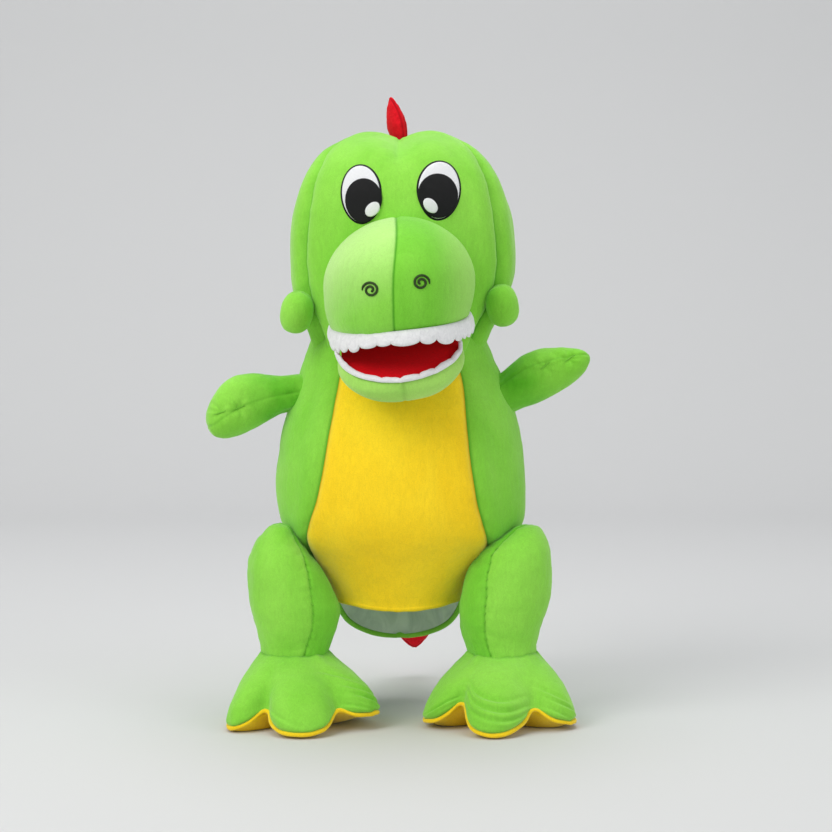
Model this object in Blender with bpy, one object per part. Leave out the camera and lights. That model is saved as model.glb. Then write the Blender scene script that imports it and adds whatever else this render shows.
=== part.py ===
"""A stuffed dinosaur hand puppet that stands on its own two feet.

Every sewn panel, wad of stuffing, stiffener and embroidered patch is an object of its own, parented to
the empty of the body that it moves with.  Units are metres, +Z is up and the face looks along -Y.
"""
import math

import bmesh
import bpy
import numpy as np
from mathutils import Matrix, Vector

# ---- Driving dimensions ------------------------------------------------------------------------
PLUSH = 0.0024          # thickness of a plush skin panel
SATIN = 0.0012          # thickness of the sleeve's lining
FELT = 0.0016           # thickness of the teeth
BOARD = 0.0014          # thickness of a mouth stiffener
GAP = 0.0004            # clearance between pieces that touch
SEAM = 0.0004           # clearance between two panels along their seam
SHARP = math.radians(40)     # two faces that meet at more than this are shaded apart
HEM = 0.0062            # thickness of the hem, turned in and padded
CORE = PLUSH + GAP      # depth of the stuffing under the outer surface

AXIS_Y = -0.0105         # the torso's axis, measured from the middle of the whole length
BELLY_COLUMN = 3        # column of the torso's grid that follows the belly's edge
FACE_COLUMN = 4         # column of the head's grid that follows the face panel's edge
COLUMNS = 24            # columns of the torso's and the head's grids

NECK_PIVOT = Vector((0.0, 0.006, 0.262))
NECK_BALL = (0.0682, 0.052)          # radius across and radius in the plane that the head nods in
NECK_HOLE = (0.038, 0.033)           # half width and half depth of the passage for the arm
PASSAGE = (0.24, 0.34)               # heights between which that passage is cut

MUZZLE_CENTRE = Vector((0.001, -0.062, 0.318))
MUZZLE_ROLL = math.radians(-6.0)     # the muzzle is sewn on with its right side a little higher
MUZZLE_HALF_WIDTH = 0.054
MUZZLE_REACH = 0.074
MUZZLE_UP = 0.048
MUZZLE_DOWN = 0.075
LIP_DROP = 0.033                     # the lip's plane below the muzzle's centre
POCKET = 0.0345                      # half width of the space for the fingers
JAW_HINGE = Vector((0.0, 0.010, -0.034))     # from the muzzle's centre
JAW_REST = math.radians(26.0)        # how far the mouth stands open

HIP = Vector((0.0765, -0.032, 0.112))
HIP_RECESS_R = 0.0378
HIP_RECESS_X = 0.0405
ANKLE_Z = 0.058
ANKLE_R = 0.0235
FOOT_CENTRE = Vector((0.0705, -0.040, 0.0))
SOLE = 0.003

SHOULDER = Vector((0.0928, -0.008, 0.2392))
ARM_FORWARD = math.radians(12.0)
ARM_RISE = {-1: math.radians(-20.0), 1: math.radians(25.0)}
EAR = Vector((0.0812, -0.031, 0.2995))
TAIL_PIVOT = Vector((0.0, 0.0945, 0.112))
TAIL_DROP = math.radians(51.0)       # the tail's axis below the horizontal
TAIL_SWING = math.radians(6.0)

GREEN = (0.30, 0.68, 0.09)
PALE_GREEN = (0.42, 0.76, 0.18)
YELLOW = (0.95, 0.66, 0.02)
RED = (0.66, 0.005, 0.01)
WHITE = (0.88, 0.88, 0.88)
BLACK = (0.012, 0.011, 0.012)
LINING = (0.32, 0.42, 0.36)
WADDING = (0.90, 0.90, 0.88)
CARD = (0.55, 0.47, 0.36)

# Rings of the torso: height, centre y, half width, half depth, and how far the ring slopes down
# towards the back.  The first two rings hold the hem band.
TORSO = (
    (0.0665, 0.012, 0.0500, 0.0500, 0.39),
    (0.0715, 0.012, 0.0510, 0.0510, 0.37),
    (0.0880, 0.010, 0.0560, 0.0540, 0.25),
    (0.1120, 0.008, 0.0680, 0.0600, 0.10),
    (0.1390, 0.004, 0.0870, 0.0690, 0.00),
    (0.1650, 0.002, 0.0920, 0.0725, 0.00),
    (0.1950, 0.002, 0.0900, 0.0700, 0.00),
    (0.2250, 0.003, 0.0830, 0.0620, 0.00),
    (0.2450, 0.005, 0.0750, 0.0530, 0.00),
    (0.2620, 0.006, 0.0695, 0.0475, 0.00),
)
BELLY_EDGE = (58, 58, 58, 54, 47, 40, 36, 36, 37, 37)      # degrees from the front, ring by ring
SLEEVE = (0.0400, 0.0400, 0.0385, 0.0375, 0.0380, 0.0390, 0.0395, 0.0395, 0.0390, 0.0385)

# Rings of the head: height, centre y, half width, half depth, and the face panel's edge in degrees.
HEAD = (
    (0.2700, 0.008, 0.0665, 0.0500, 57),
    (0.2860, 0.008, 0.0710, 0.0560, 57),
    (0.3000, 0.008, 0.0765, 0.0620, 57),
    (0.3180, 0.008, 0.0820, 0.0670, 57),
    (0.3400, 0.008, 0.0845, 0.0705, 57),
    (0.3600, 0.008, 0.0830, 0.0715, 57),
    (0.3810, 0.009, 0.0770, 0.0690, 58),
    (0.4010, 0.010, 0.0670, 0.0620, 62),
    (0.4160, 0.012, 0.0530, 0.0510, 72),
    (0.4250, 0.014, 0.0360, 0.0360, 84),
    (0.4290, 0.015, 0.0120, 0.0120, 90),
)
HEAD_X = 0.0025

# Rings of a leg: height, half width, half depth.  The foot of it is the ball of the ankle.
LEG = (
    (0.0358, 0.0070, 0.0070),
    (0.0430, 0.0180, 0.0180),
    (0.0580, 0.0235, 0.0235),
    (0.0720, 0.0310, 0.0295),
    (0.0930, 0.0350, 0.0335),
    (0.1130, 0.0340, 0.0330),
    (0.1320, 0.0260, 0.0260),
    (0.1440, 0.0110, 0.0110),
)
# Rings of an arm, from the ball at the shoulder to the tip: distance, half height, half depth.
ARM = (
    (-0.0140, 0.0040, 0.0040),
    (-0.0105, 0.0098, 0.0098),
    (0.0000, 0.0145, 0.0140),
    (0.0130, 0.0170, 0.0150),
    (0.0270, 0.0190, 0.0160),
    (0.0380, 0.0178, 0.0150),
    (0.0470, 0.0125, 0.0110),
    (0.0520, 0.0040, 0.0040),
)
# Rings of the tail, from the ball at its root: distance, half width, half height, lift of the centre.
TAIL = (
    (-0.0240, 0.0070, 0.0070, 0.0),
    (-0.0180, 0.0165, 0.0165, 0.0),
    (0.0000, 0.0245, 0.0245, 0.0),
    (0.0200, 0.0215, 0.0205, 0.001),
    (0.0400, 0.0165, 0.0155, 0.003),
    (0.0560, 0.0110, 0.0105, 0.006),
    (0.0660, 0.0040, 0.0040, 0.009),
)
# Rings of an ear: distance along it, half thickness, half length from front to back.
EAR_RINGS = (
    (-0.0160, 0.0025, 0.0040), (-0.0130, 0.0058, 0.0085), (-0.0060, 0.0078, 0.0120),
    (0.0030, 0.0082, 0.0124), (0.0110, 0.0065, 0.0098), (0.0150, 0.0030, 0.0045),
)
# Rings of the jaw, from its rim down: height, centre y, half width, front, back.
JAW = (
    (0.0000, -0.030, 0.0425, 0.0400, 0.0265),
    (-0.0070, -0.031, 0.0415, 0.0385, 0.0225),
    (-0.0140, -0.034, 0.0380, 0.0340, 0.0180),
    (-0.0200, -0.038, 0.0290, 0.0260, 0.0140),
    (-0.0245, -0.041, 0.0130, 0.0120, 0.0080),
)
# Rings of a foot: height, and how far the outline has drawn in from the toes to the ankle.
FOOT = (
    (0.0034, 0.00), (0.0110, -0.04), (0.0220, 0.12), (0.0350, 0.50), (0.0470, 1.00),
)
# The red spikes: body, foot of the spike, lean back from upright in degrees, height, length, thickness.
SPIKES = (
    ("crest_spike", "head", (0.0020, 0.014, 0.4305), 5, 0.029, 0.022, 0.0115),
    ("nape_spike", "head", (0.0025, 0.0808, 0.372), 78, 0.030, 0.034, 0.0130),
    ("shoulder_spike", "torso", (0.0, 0.0622, 0.241), 72, 0.030, 0.036, 0.0130),
    ("back_spike", "torso", (0.0, 0.0742, 0.196), 92, 0.033, 0.040, 0.0140),
    ("rump_spike", "torso", (0.0, 0.0752, 0.158), 92, 0.028, 0.034, 0.0130),
)
SPIKE_SHAPE = ((0.0, 0.55), (0.25, 0.95), (0.50, 1.0), (0.75, 0.72), (0.93, 0.36), (1.0, 0.12))


# ---- Small tools -------------------------------------------------------------------------------
def clear_scene():
    for obj in list(bpy.data.objects):
        bpy.data.objects.remove(obj)


def material(name, colour, roughness=0.9):
    made = bpy.data.materials.new(name)
    made.use_nodes = True
    shader = made.node_tree.nodes["Principled BSDF"]
    shader.inputs["Base Color"].default_value = (*colour, 1.0)
    shader.inputs["Roughness"].default_value = roughness
    shader.inputs["Metallic"].default_value = 0.0
    return made


def empty(name, matrix, parent=None):
    made = bpy.data.objects.new(name, None)
    made.empty_display_size = 0.02
    bpy.context.scene.collection.objects.link(made)
    made.parent = parent
    made.matrix_world = matrix
    bpy.context.view_layer.update()
    return made


def piece(name, points, faces, finish, body):
    """A closed mesh, given where it stands, with its origin moved to its body's empty."""
    mesh = bpy.data.meshes.new(name)
    mesh.from_pydata([tuple(p) for p in points], [], [tuple(f) for f in faces])
    bm = bmesh.new()
    bm.from_mesh(mesh)
    bmesh.ops.recalc_face_normals(bm, faces=bm.faces)
    bm.to_mesh(mesh)
    bm.free()
    mesh.transform(body.matrix_world.inverted())
    mesh.shade_smooth()
    mesh.set_sharp_from_angle(angle=SHARP)
    if finish:
        mesh.materials.append(finish)
    obj = bpy.data.objects.new(name, mesh)
    bpy.context.scene.collection.objects.link(obj)
    obj.parent = body
    return obj


def cutter(name, points, faces, body):
    obj = piece(name, points, faces, None, body)
    obj.hide_render = True
    obj.display_type = "WIRE"
    return obj


def boolean(obj, tool, operation="DIFFERENCE"):
    modifier = obj.modifiers.new(f"{operation.title()} {tool.name}", "BOOLEAN")
    modifier.operation = operation
    modifier.object = tool
    modifier.solver = "EXACT"


def placed(points, matrix):
    return [matrix @ Vector(p) for p in np.asarray(points).reshape(-1, 3)]


# ---- Rings, and the solids made between them ---------------------------------------------------
class Form:
    """A stack of oval rings: (height, centre x, centre y, half width, front, back, slope) each."""

    def __init__(self, rings, angles, power=2.0, matrix=None):
        self.rings = rings
        self.angles = angles
        self.power = power
        self.matrix = matrix or Matrix.Identity(4)

    def ring(self, index, angles):
        z, cx, cy, half, front, back, slope = self.rings[index]
        found = []
        for angle in angles:
            side, ahead = math.sin(angle), math.cos(angle)
            x = half * math.copysign(abs(side) ** (2 / self.power), side)
            reach = front if ahead > 0 else back
            y = -reach * math.copysign(abs(ahead) ** (2 / self.power), ahead)
            found.append((cx + x, cy + y, z - slope * y))
        return found

    def surface(self):
        return np.array([self.ring(i, a) for i, a in enumerate(self.angles)])

    def normals(self):
        """Outward normals of the grid, level at the two ends so that the ends stay flat."""
        grid = self.surface()
        along = np.roll(grid, -1, axis=1) - np.roll(grid, 1, axis=1)
        up = np.empty_like(grid)
        up[1:-1] = grid[2:] - grid[:-2]
        up[0], up[-1] = grid[1] - grid[0], grid[-1] - grid[-2]
        found = np.cross(along, up)
        found[[0, -1], :, 2] = 0.0
        centre = grid.mean(axis=1, keepdims=True)
        found *= np.sign((found * (grid - centre)).sum(axis=2, keepdims=True))
        return found / np.linalg.norm(found, axis=2, keepdims=True)

    def at(self, depth, trim_low=0.0, trim_high=0.0):
        """The grid at a depth under the surface, its end rings moved along by the trims."""
        grid = self.surface() - depth * self.normals()
        for end, beside, trim in ((0, 1, trim_low), (-1, -2, trim_high)):
            step = grid[beside] - grid[end]
            grid[end] += step * (trim / np.linalg.norm(step, axis=1, keepdims=True))
        return grid


def grid_faces(rows, columns, wrap, start=0):
    last = columns if wrap else columns - 1
    return [
        (
            start + r * columns + c,
            start + r * columns + (c + 1) % columns,
            start + (r + 1) * columns + (c + 1) % columns,
            start + (r + 1) * columns + c,
        )
        for r in range(rows - 1)
        for c in range(last)
    ]


def filled(grid):
    """A solid inside one closed stack of rings."""
    rows, columns, _ = grid.shape
    faces = grid_faces(rows, columns, wrap=True)
    faces.append(tuple(range(columns)))
    faces.append(tuple((rows - 1) * columns + c for c in range(columns)))
    return grid.reshape(-1, 3), faces


def walled(outer, inner, wrap):
    """A wall between two grids: a tube when the grids go all the way round, or else a panel."""
    rows, columns, _ = outer.shape
    count = rows * columns
    faces = grid_faces(rows, columns, wrap) + grid_faces(rows, columns, wrap, count)
    top = (rows - 1) * columns
    last = columns if wrap else columns - 1
    for c in range(last):
        n = (c + 1) % columns
        faces.append((c, n, count + n, count + c))
        faces.append((top + c, top + n, count + top + n, count + top + c))
    if not wrap:
        for r in range(rows - 1):
            for edge in (0, columns - 1):
                low, high = r * columns + edge, (r + 1) * columns + edge
                faces.append((low, high, count + high, count + low))
    return np.concatenate([outer.reshape(-1, 3), inner.reshape(-1, 3)]), faces


def panel(form, first, last, rows=None, depth=0.0, thickness=PLUSH, trims=(0.0, 0.0), seam=SEAM):
    """A skin panel from one column of the grid to another, drawn in by half a seam at each side."""
    rows = rows or (0, len(form.rings))
    columns = len(form.angles[0])
    picked = [c % columns for c in range(first, last + 1)]
    sides = []
    for d in (depth, depth + thickness):
        grid = form.at(d)[rows[0]:rows[1], picked].copy()
        for end, beside in ((0, 1), (-1, -2)):
            step = grid[:, beside] - grid[:, end]
            grid[:, end] += step * (seam / 2 / np.linalg.norm(step, axis=1, keepdims=True))
        for end, beside, trim in ((0, 1, trims[0]), (-1, -2, trims[1])):
            step = grid[beside] - grid[end]
            grid[end] += step * (trim / np.linalg.norm(step, axis=1, keepdims=True))
        sides.append(grid)
    return walled(sides[0], sides[1], wrap=False)


def even_angles(columns, rows):
    row = [2 * math.pi * c / columns for c in range(columns)]
    return [row] * rows


def warped_angles(columns, column, edges):
    """Angles whose given column, on both sides, follows the panel edge given ring by ring."""
    half = columns // 2
    rows = []
    for degrees in edges:
        edge = math.radians(degrees)
        right = [edge * c / column for c in range(column)]
        right += [edge + (math.pi - edge) * (c - column) / (half - column) for c in range(column, half + 1)]
        left = [2 * math.pi - a for a in reversed(right[1:-1])]
        rows.append(right + left)
    return rows


def box_points(low, high):
    (x0, y0, z0), (x1, y1, z1) = low, high
    points = [(x, y, z) for z in (z0, z1) for y in (y0, y1) for x in (x0, x1)]
    faces = [(0, 1, 3, 2), (4, 6, 7, 5), (0, 4, 5, 1), (2, 3, 7, 6), (0, 2, 6, 4), (1, 5, 7, 3)]
    return points, faces


def ball_points(centre, across, around, columns=28, rows=14):
    """A ball of revolution about X: half length across, and radius around."""
    rings = []
    for r in range(1, rows):
        tilt = math.pi * r / rows
        x, radius = -across * math.cos(tilt), around * math.sin(tilt)
        turn = [2 * math.pi * c / columns for c in range(columns)]
        rings.append([(x, radius * math.cos(a), radius * math.sin(a)) for a in turn])
    points, faces = filled(np.array(rings))
    return [Vector(p) + centre for p in points], faces


def extruded(outline, low, high, axis="z"):
    """A prism on a closed outline: along z from (x, y) points, or along x from (y, z) points."""
    count = len(outline)
    if axis == "z":
        points = [(a, b, h) for h in (low, high) for a, b in outline]
    else:
        points = [(h, a, b) for h in (low, high) for a, b in outline]
    faces = [tuple(range(count)), tuple(range(count, 2 * count))]
    faces += [(i, (i + 1) % count, count + (i + 1) % count, count + i) for i in range(count)]
    return points, faces


# ---- Forms -------------------------------------------------------------------------------------
def torso_form():
    rings = [(z, 0.0, cy, half, depth, depth, slope) for z, cy, half, depth, slope in TORSO]
    return Form(rings, warped_angles(COLUMNS, BELLY_COLUMN, BELLY_EDGE), power=2.1)


def sleeve_form():
    """The passage for the hand, on the torso's own columns so that its wall stays parallel."""
    rings = [
        (ring[0], 0.0, ring[1], half, half * 0.93, half * 0.93, ring[4])
        for ring, half in zip(TORSO, SLEEVE)
    ]
    return Form(rings, warped_angles(COLUMNS, BELLY_COLUMN, BELLY_EDGE))


def head_form():
    rings = [(z, HEAD_X, cy, half, depth, depth, 0.0) for z, cy, half, depth, _ in HEAD]
    return Form(rings, warped_angles(COLUMNS, FACE_COLUMN, [ring[4] for ring in HEAD]), power=2.15)


def muzzle_form():
    """Rings along the way the muzzle points; a ring's front is its underside."""
    turns = (-0.42, -0.05, 0.22, 0.48, 0.72, 0.90, 1.08, 1.26, 1.42)
    rings = []
    for turn in turns:
        reach, girth = MUZZLE_REACH * math.sin(turn), math.cos(turn)
        rings.append((reach, 0.0, 0.0, MUZZLE_HALF_WIDTH * girth, MUZZLE_DOWN * girth, MUZZLE_UP * girth, 0.0))
    forward = Matrix(((1, 0, 0, 0), (0, 0, -1, 0), (0, 1, 0, 0), (0, 0, 0, 1)))
    return Form(rings, even_angles(20, len(rings)), power=2.0, matrix=forward)


def jaw_form():
    rings = [(z, 0.0, cy, half, front, back, 0.0) for z, cy, half, front, back in JAW]
    return Form(rings, even_angles(20, len(rings)), power=2.3)


def leg_form():
    rings = [(z - HIP.z, 0.0, 0.0, half, depth, depth, 0.0) for z, half, depth in LEG]
    return Form(rings, even_angles(16, len(rings)))


def arm_form():
    """The arm hangs along local +Z; its local x is its height, so that a seam runs along the front."""
    rings = [(z, 0.0, 0.0, half, depth, depth, 0.0) for z, half, depth in ARM]
    return Form(rings, even_angles(12, len(rings)))


def foot_form(side):
    """Three toes below, drawn in to the round of the ankle above."""
    toe_step = math.radians(26.0)
    front = [toe_step * k / 3 for k in range(-9, 10)]
    back = [front[-1] + (2 * math.pi - 2 * front[-1]) * k / 9 for k in range(1, 9)]
    angles = front + back
    ankle = HIP - FOOT_CENTRE
    rows = []
    for z, share in FOOT:
        row = []
        for angle in angles:
            bent = (angle + math.pi) % (2 * math.pi) - math.pi
            fade = min(1.0, max(0.0, (math.radians(88) - abs(bent)) / math.radians(22)))
            lobe = 0.0095 * math.cos(math.pi * bent / toe_step) * fade
            reach = 0.0525 + 0.0065 * math.cos(bent) + lobe
            toe = np.array((reach * math.sin(bent), -reach * math.cos(bent)))
            leg = np.array((0.0262 * math.sin(bent), -0.0262 * math.cos(bent)))
            leg += np.array((side * ankle.x, ankle.y))
            x, y = toe * (1 - share) + leg * share
            row.append((x + side * FOOT_CENTRE.x, y + FOOT_CENTRE.y, z))
        rows.append(row)
    return np.array(rows)


def drawn_in(grid, depth):
    """A free grid moved inwards by a depth, ring by ring, along the ring's own normals."""
    along = np.roll(grid, -1, axis=1) - np.roll(grid, 1, axis=1)
    outward = np.cross(along, np.array((0.0, 0.0, 1.0)))
    centre = grid.mean(axis=1, keepdims=True)
    outward *= np.sign((outward * (grid - centre)).sum(axis=2, keepdims=True))
    return grid - depth * outward / np.linalg.norm(outward, axis=2, keepdims=True)


# ---- Sections of the puppet --------------------------------------------------------------------
def build_torso_parts(body, finish):
    form, sleeve = torso_form(), sleeve_form()
    rows = len(TORSO)
    half = COLUMNS // 2
    recesses = []
    for side, word in ((-1, "left"), (1, "right")):
        ends = sorted((side * HIP_RECESS_X, side * 0.13))
        circle = [2 * math.pi * k / 28 for k in range(28)]
        outline = [
            (HIP.y + HIP_RECESS_R * math.cos(a), HIP.z + HIP_RECESS_R * math.sin(a)) for a in circle
        ]
        points, faces = extruded(outline, ends[0], ends[1], axis="x")
        recesses.append(cutter(f"cut_hip_{word}", placed(points, BASE), faces, body))

    skins = (
        ("belly_panel", "yellow", -BELLY_COLUMN, BELLY_COLUMN, (0, rows)),
        ("body_side_right", "green", BELLY_COLUMN, half, (1, rows)),
        ("body_side_left", "green", half, COLUMNS - BELLY_COLUMN, (1, rows)),
    )
    made = []
    for name, colour, first, last, span in skins:
        trims = (0.0 if span[0] == 0 else GAP, 0.0)
        points, faces = panel(form, first, last, rows=span, trims=trims)
        made.append(piece(name, placed(points, BASE), faces, finish[colour], body))
    points, faces = panel(form, BELLY_COLUMN, COLUMNS - BELLY_COLUMN, rows=(0, 2), thickness=HEM)
    piece("hem_band", placed(points, BASE), faces, finish["green"], body)

    outer, inner = form.at(CORE)[1:], sleeve.at(-GAP)[1:]
    for grid in (outer, inner):
        grid[0, :, 2] += HEM / 2
    points, faces = walled(outer, inner, wrap=True)
    wadding = piece("torso_wadding", placed(points, BASE), faces, finish["wadding"], body)
    points, faces = walled(sleeve.at(0.0), sleeve.at(SATIN), wrap=True)
    piece("sleeve_lining", placed(points, BASE), faces, finish["lining"], body)
    for obj in made + [wadding]:
        for tool in recesses:
            boolean(obj, tool)


def build_neck_parts(body, finish):
    """A collar of wadding, domed so that the head can nod on it, and open in front for the thumb."""
    z, _, cy, half, front, back, _ = torso_form().rings[-1]
    rings = [
        (z + GAP, 0.0, cy, half, front, back, 0.0),
        (z + 0.030, 0.0, cy, half * 1.02, front, back * 1.05, 0.0),
        (z + 0.060, 0.0, cy, half * 1.02, front, back * 1.05, 0.0),
    ]
    form = Form(rings, even_angles(COLUMNS, 3), power=2.1)
    points, faces = filled(form.at(CORE))
    collar = piece("neck_collar", placed(points, BASE), faces, finish["green"], body)
    points, faces = ball_points(NECK_PIVOT, NECK_BALL[0], NECK_BALL[1])
    dome = cutter("keep_neck_dome", placed(points, BASE), faces, body)
    hole = Form(
        [(z, 0, cy, *NECK_HOLE, NECK_HOLE[1], 0.0) for z in PASSAGE],
        even_angles(COLUMNS, 2),
    )
    points, faces = filled(hole.at(0.0))
    passage = cutter("cut_neck_passage", placed(points, BASE), faces, body)
    points, faces = box_points((-0.017, -0.08, 0.25), (0.017, -0.01, 0.34))
    gate = cutter("cut_thumb_gate", placed(points, BASE), faces, body)
    boolean(collar, dome, "INTERSECT")
    boolean(collar, passage)
    boolean(collar, gate)


def pocket_outline(grow):
    """Side view of the space for the fingers: up from the neck, then forward over the palate."""
    back, front, throat = 0.033, -0.100, -0.028
    floor, ceiling, round_off = MUZZLE_CENTRE.z - LIP_DROP + 0.010, 0.326, 0.006
    return [
        (back + grow, PASSAGE[0]),
        (back + grow, ceiling - round_off),
        (back - round_off + grow, ceiling + grow),
        (front + round_off - grow, ceiling + grow),
        (front - grow, ceiling - round_off),
        (front - grow, floor - grow),
        (throat - 0.014, floor - grow),
        (throat - grow, 0.278),
        (throat - grow, PASSAGE[0]),
    ]


def build_head(body, muzzle, finish):
    form, snout = head_form(), muzzle_form()
    half = COLUMNS // 2
    roll = muzzle.matrix_world
    to_muzzle = roll @ snout.matrix

    points, faces = ball_points(NECK_PIVOT + Vector((0, AXIS_Y, 0)), NECK_BALL[0] + GAP * 2, NECK_BALL[1] + GAP * 2)
    socket = cutter("cut_neck_socket", points, faces, body)
    points, faces = filled(snout.at(-GAP))
    room = cutter("cut_muzzle_room", placed(points, to_muzzle), faces, body)
    points, faces = filled(form.at(-GAP))
    cranium = cutter("cut_cranium", placed(points, BASE), faces, body)
    plates_top = -LIP_DROP + 2 * BOARD + 3 * GAP
    slabs = {}
    for name, back, top in (
        ("cut_lip", 0.014, -LIP_DROP),
        ("cut_palate", 0.014, plates_top),
        ("cut_under_snout", 0.050, -LIP_DROP),
        ("cut_under_snout_stuffing", 0.050, plates_top),
    ):
        points, faces = box_points((-0.080, -0.20, -0.12), (0.080, back, top))
        slabs[name] = cutter(name, placed(points, roll), faces, body)

    skins = (
        ("face_panel", -FACE_COLUMN, FACE_COLUMN),
        ("head_side_right", FACE_COLUMN, half),
        ("head_side_left", half, COLUMNS - FACE_COLUMN),
    )
    for name, first, last in skins:
        points, faces = panel(form, first, last)
        skin = piece(name, placed(points, BASE), faces, finish["green"], body)
        boolean(skin, socket)
        boolean(skin, room)
        if name == "face_panel":
            boolean(skin, slabs["cut_lip"])

    for name, first, last, colour in (("snout_right", 0, 10, "green"), ("snout_left", 10, 20, "pale_green")):
        points, faces = panel(snout, first, last)
        skin = piece(name, placed(points, to_muzzle), faces, finish[colour], body)
        boolean(skin, cranium)
        boolean(skin, slabs["cut_under_snout"])

    points, faces = filled(form.at(CORE))
    stuffing = piece("head_stuffing", placed(points, BASE), faces, finish["wadding"], body)
    points, faces = filled(snout.at(CORE))
    nose = cutter("join_snout_stuffing", placed(points, to_muzzle), faces, body)
    points, faces = extruded(pocket_outline(GAP), -POCKET - GAP, POCKET + GAP, axis="x")
    hollow = cutter("cut_finger_pocket", placed(points, BASE), faces, body)
    boolean(nose, slabs["cut_under_snout_stuffing"])
    boolean(stuffing, nose, "UNION")
    for tool in (slabs["cut_palate"], socket, hollow):
        boolean(stuffing, tool)

    points, faces = extruded(pocket_outline(0.0), -POCKET, POCKET, axis="x")
    lining = piece("finger_pocket_lining", placed(points, BASE), faces, finish["lining"], body)
    inside = [(y, z - 0.02 if z == PASSAGE[0] else z) for y, z in pocket_outline(-SATIN)]
    points, faces = extruded(inside, SATIN - POCKET, POCKET - SATIN, axis="x")
    space = cutter("cut_finger_space", placed(points, BASE), faces, body)
    boolean(lining, space)
    boolean(lining, socket)

    # The lip is an oval cut off at the back, and the plates lie inside the skin.
    girth = math.sqrt(1 - (LIP_DROP / MUZZLE_DOWN) ** 2)
    lip_half, lip_reach, lip_back = MUZZLE_HALF_WIDTH * girth, MUZZLE_REACH * girth, 0.0125
    plates = (
        ("palate_lining", "red", -LIP_DROP + GAP),
        ("palate_board", "card", -LIP_DROP + BOARD + 2 * GAP),
    )
    for name, colour, low in plates:
        inset = PLUSH + 5 * GAP
        reach = lip_reach - inset
        turn = math.asin(lip_back / reach)
        arc = [-turn + (math.pi + 2 * turn) * k / 22 for k in range(23)]
        outline = [((lip_half - inset) * math.cos(a), -reach * math.sin(a)) for a in arc]
        points, faces = extruded(outline, low, low + BOARD)
        plate = piece(name, placed(points, roll), faces, finish[colour], body)
        boolean(plate, cranium)

    teeth_band("upper_teeth", lip_half - 0.0006, lip_reach - 0.0006, 0.0, 30, -LIP_DROP - GAP,
               (-0.0075, -0.0118), roll, finish, body)
    return form


def teeth_band(name, half, reach, centre, steps, root, heights, matrix, finish, body, span=math.pi):
    """A felt strip that follows the lip, with one edge straight and the other scalloped."""
    turn = (span - math.pi) / 2
    outer, inner = [], []
    for level in (0, 1):
        rings = ([], [])
        for k in range(steps + 1):
            a = -turn + (math.pi + 2 * turn) * k / steps
            height = root + (heights[k % 2] if level else 0.0)
            for found, inset in zip(rings, (0.0, FELT)):
                x, y = (half - inset) * math.cos(a), -(reach - inset) * math.sin(a)
                found.append((x, y + centre, height))
        outer.append(rings[0])
        inner.append(rings[1])
    points, faces = walled(np.array(outer), np.array(inner), wrap=False)
    return piece(name, placed(points, matrix), faces, finish["white"], body)


def build_jaw(body, finish):
    form = jaw_form()
    place = body.matrix_world
    for name, first, last in (("jaw_skin_right", 0, 10), ("jaw_skin_left", 10, 20)):
        points, faces = panel(form, first, last)
        piece(name, placed(points, place), faces, finish["green"], body)
    points, faces = filled(form.at(CORE, trim_low=2 * BOARD + 8 * GAP))
    stuffing = piece("jaw_stuffing", placed(points, place), faces, finish["wadding"], body)
    points, faces = box_points((-0.0150, -0.052, -0.0175), (0.0150, 0.01, -0.0036))
    thumb = cutter("cut_thumb_pocket", placed(points, place), faces, body)
    boolean(stuffing, thumb)
    plates = (("jaw_lining", "red", -GAP, 0.0012), ("jaw_board", "card", -BOARD - 2 * GAP, 0.0024))
    for name, colour, top, slope in plates:
        outline = [(x, y) for x, y, _ in form.at(PLUSH + 2 * GAP + slope)[0]]
        points, faces = extruded(outline, top - BOARD, top)
        piece(name, placed(points, place), faces, finish[colour], body)
    teeth_band("lower_teeth", JAW[0][2] - 0.0006, JAW[0][3] - 0.0006, JAW[0][1], 28, GAP,
               (0.0035, 0.0060), place, finish, body)


def face_patch(name, centre, half_width, half_height, lean, heights, colour, form, body, finish, shift=0.0):
    """A thin embroidered oval lying on the face, between two heights above the panel."""
    columns = 14
    rings = []
    for height in heights:
        for size in (1.0, 0.70, 0.35):
            ring = []
            for k in range(columns):
                a = 2 * math.pi * k / columns
                x, z = half_width * size * math.cos(a), half_height * size * math.sin(a)
                x, z = x * math.cos(lean) - z * math.sin(lean), x * math.sin(lean) + z * math.cos(lean)
                x, z = x + centre[0], z + centre[1]
                ring.append((x, face_depth(form, x, z) - height, z))
            rings.append(ring)
    count = len(rings) // 2
    low, high = rings[:count], rings[count:]
    stack = np.array(list(reversed(low)) + high)
    points, faces = filled(stack)
    return piece(name, placed(points, BASE), faces, finish[colour], body)


def face_depth(form, x, z):
    """How far forward the head's surface lies at a point of the front view."""
    rings = form.rings
    for low, high in zip(rings, rings[1:]):
        if low[0] <= z <= high[0]:
            t = (z - low[0]) / (high[0] - low[0])
            cy, half, front = (low[k] * (1 - t) + high[k] * t for k in (2, 3, 4))
            side = min(1.0, abs(x - HEAD_X) / half)
            return cy - front * (1 - side ** form.power) ** (1 / form.power)
    raise ValueError("the point is off the head")


def build_eyes(form, body, finish):
    eyes = (("left", (-0.0262, 0.3830), 8), ("right", (0.0284, 0.3862), -10))
    for word, centre, degrees in eyes:
        lean = math.radians(degrees)
        inward = 1 if word == "left" else -1
        face_patch(f"eye_white_{word}", centre, 0.0148, 0.0204, lean, (0.0010, 0.0017), "white", form, body, finish)
        pupil = (centre[0] + inward * 0.0015, centre[1] - 0.0048)
        face_patch(f"eye_pupil_{word}", pupil, 0.0120, 0.0145, lean, (0.0021, 0.0027), "black", form, body, finish)
        glint = (centre[0] + inward * 0.0055, centre[1] - 0.0120)
        face_patch(f"eye_glint_{word}", glint, 0.0048, 0.0040, -lean * 3, (0.0031, 0.0036), "white",
                   form, body, finish)


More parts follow.
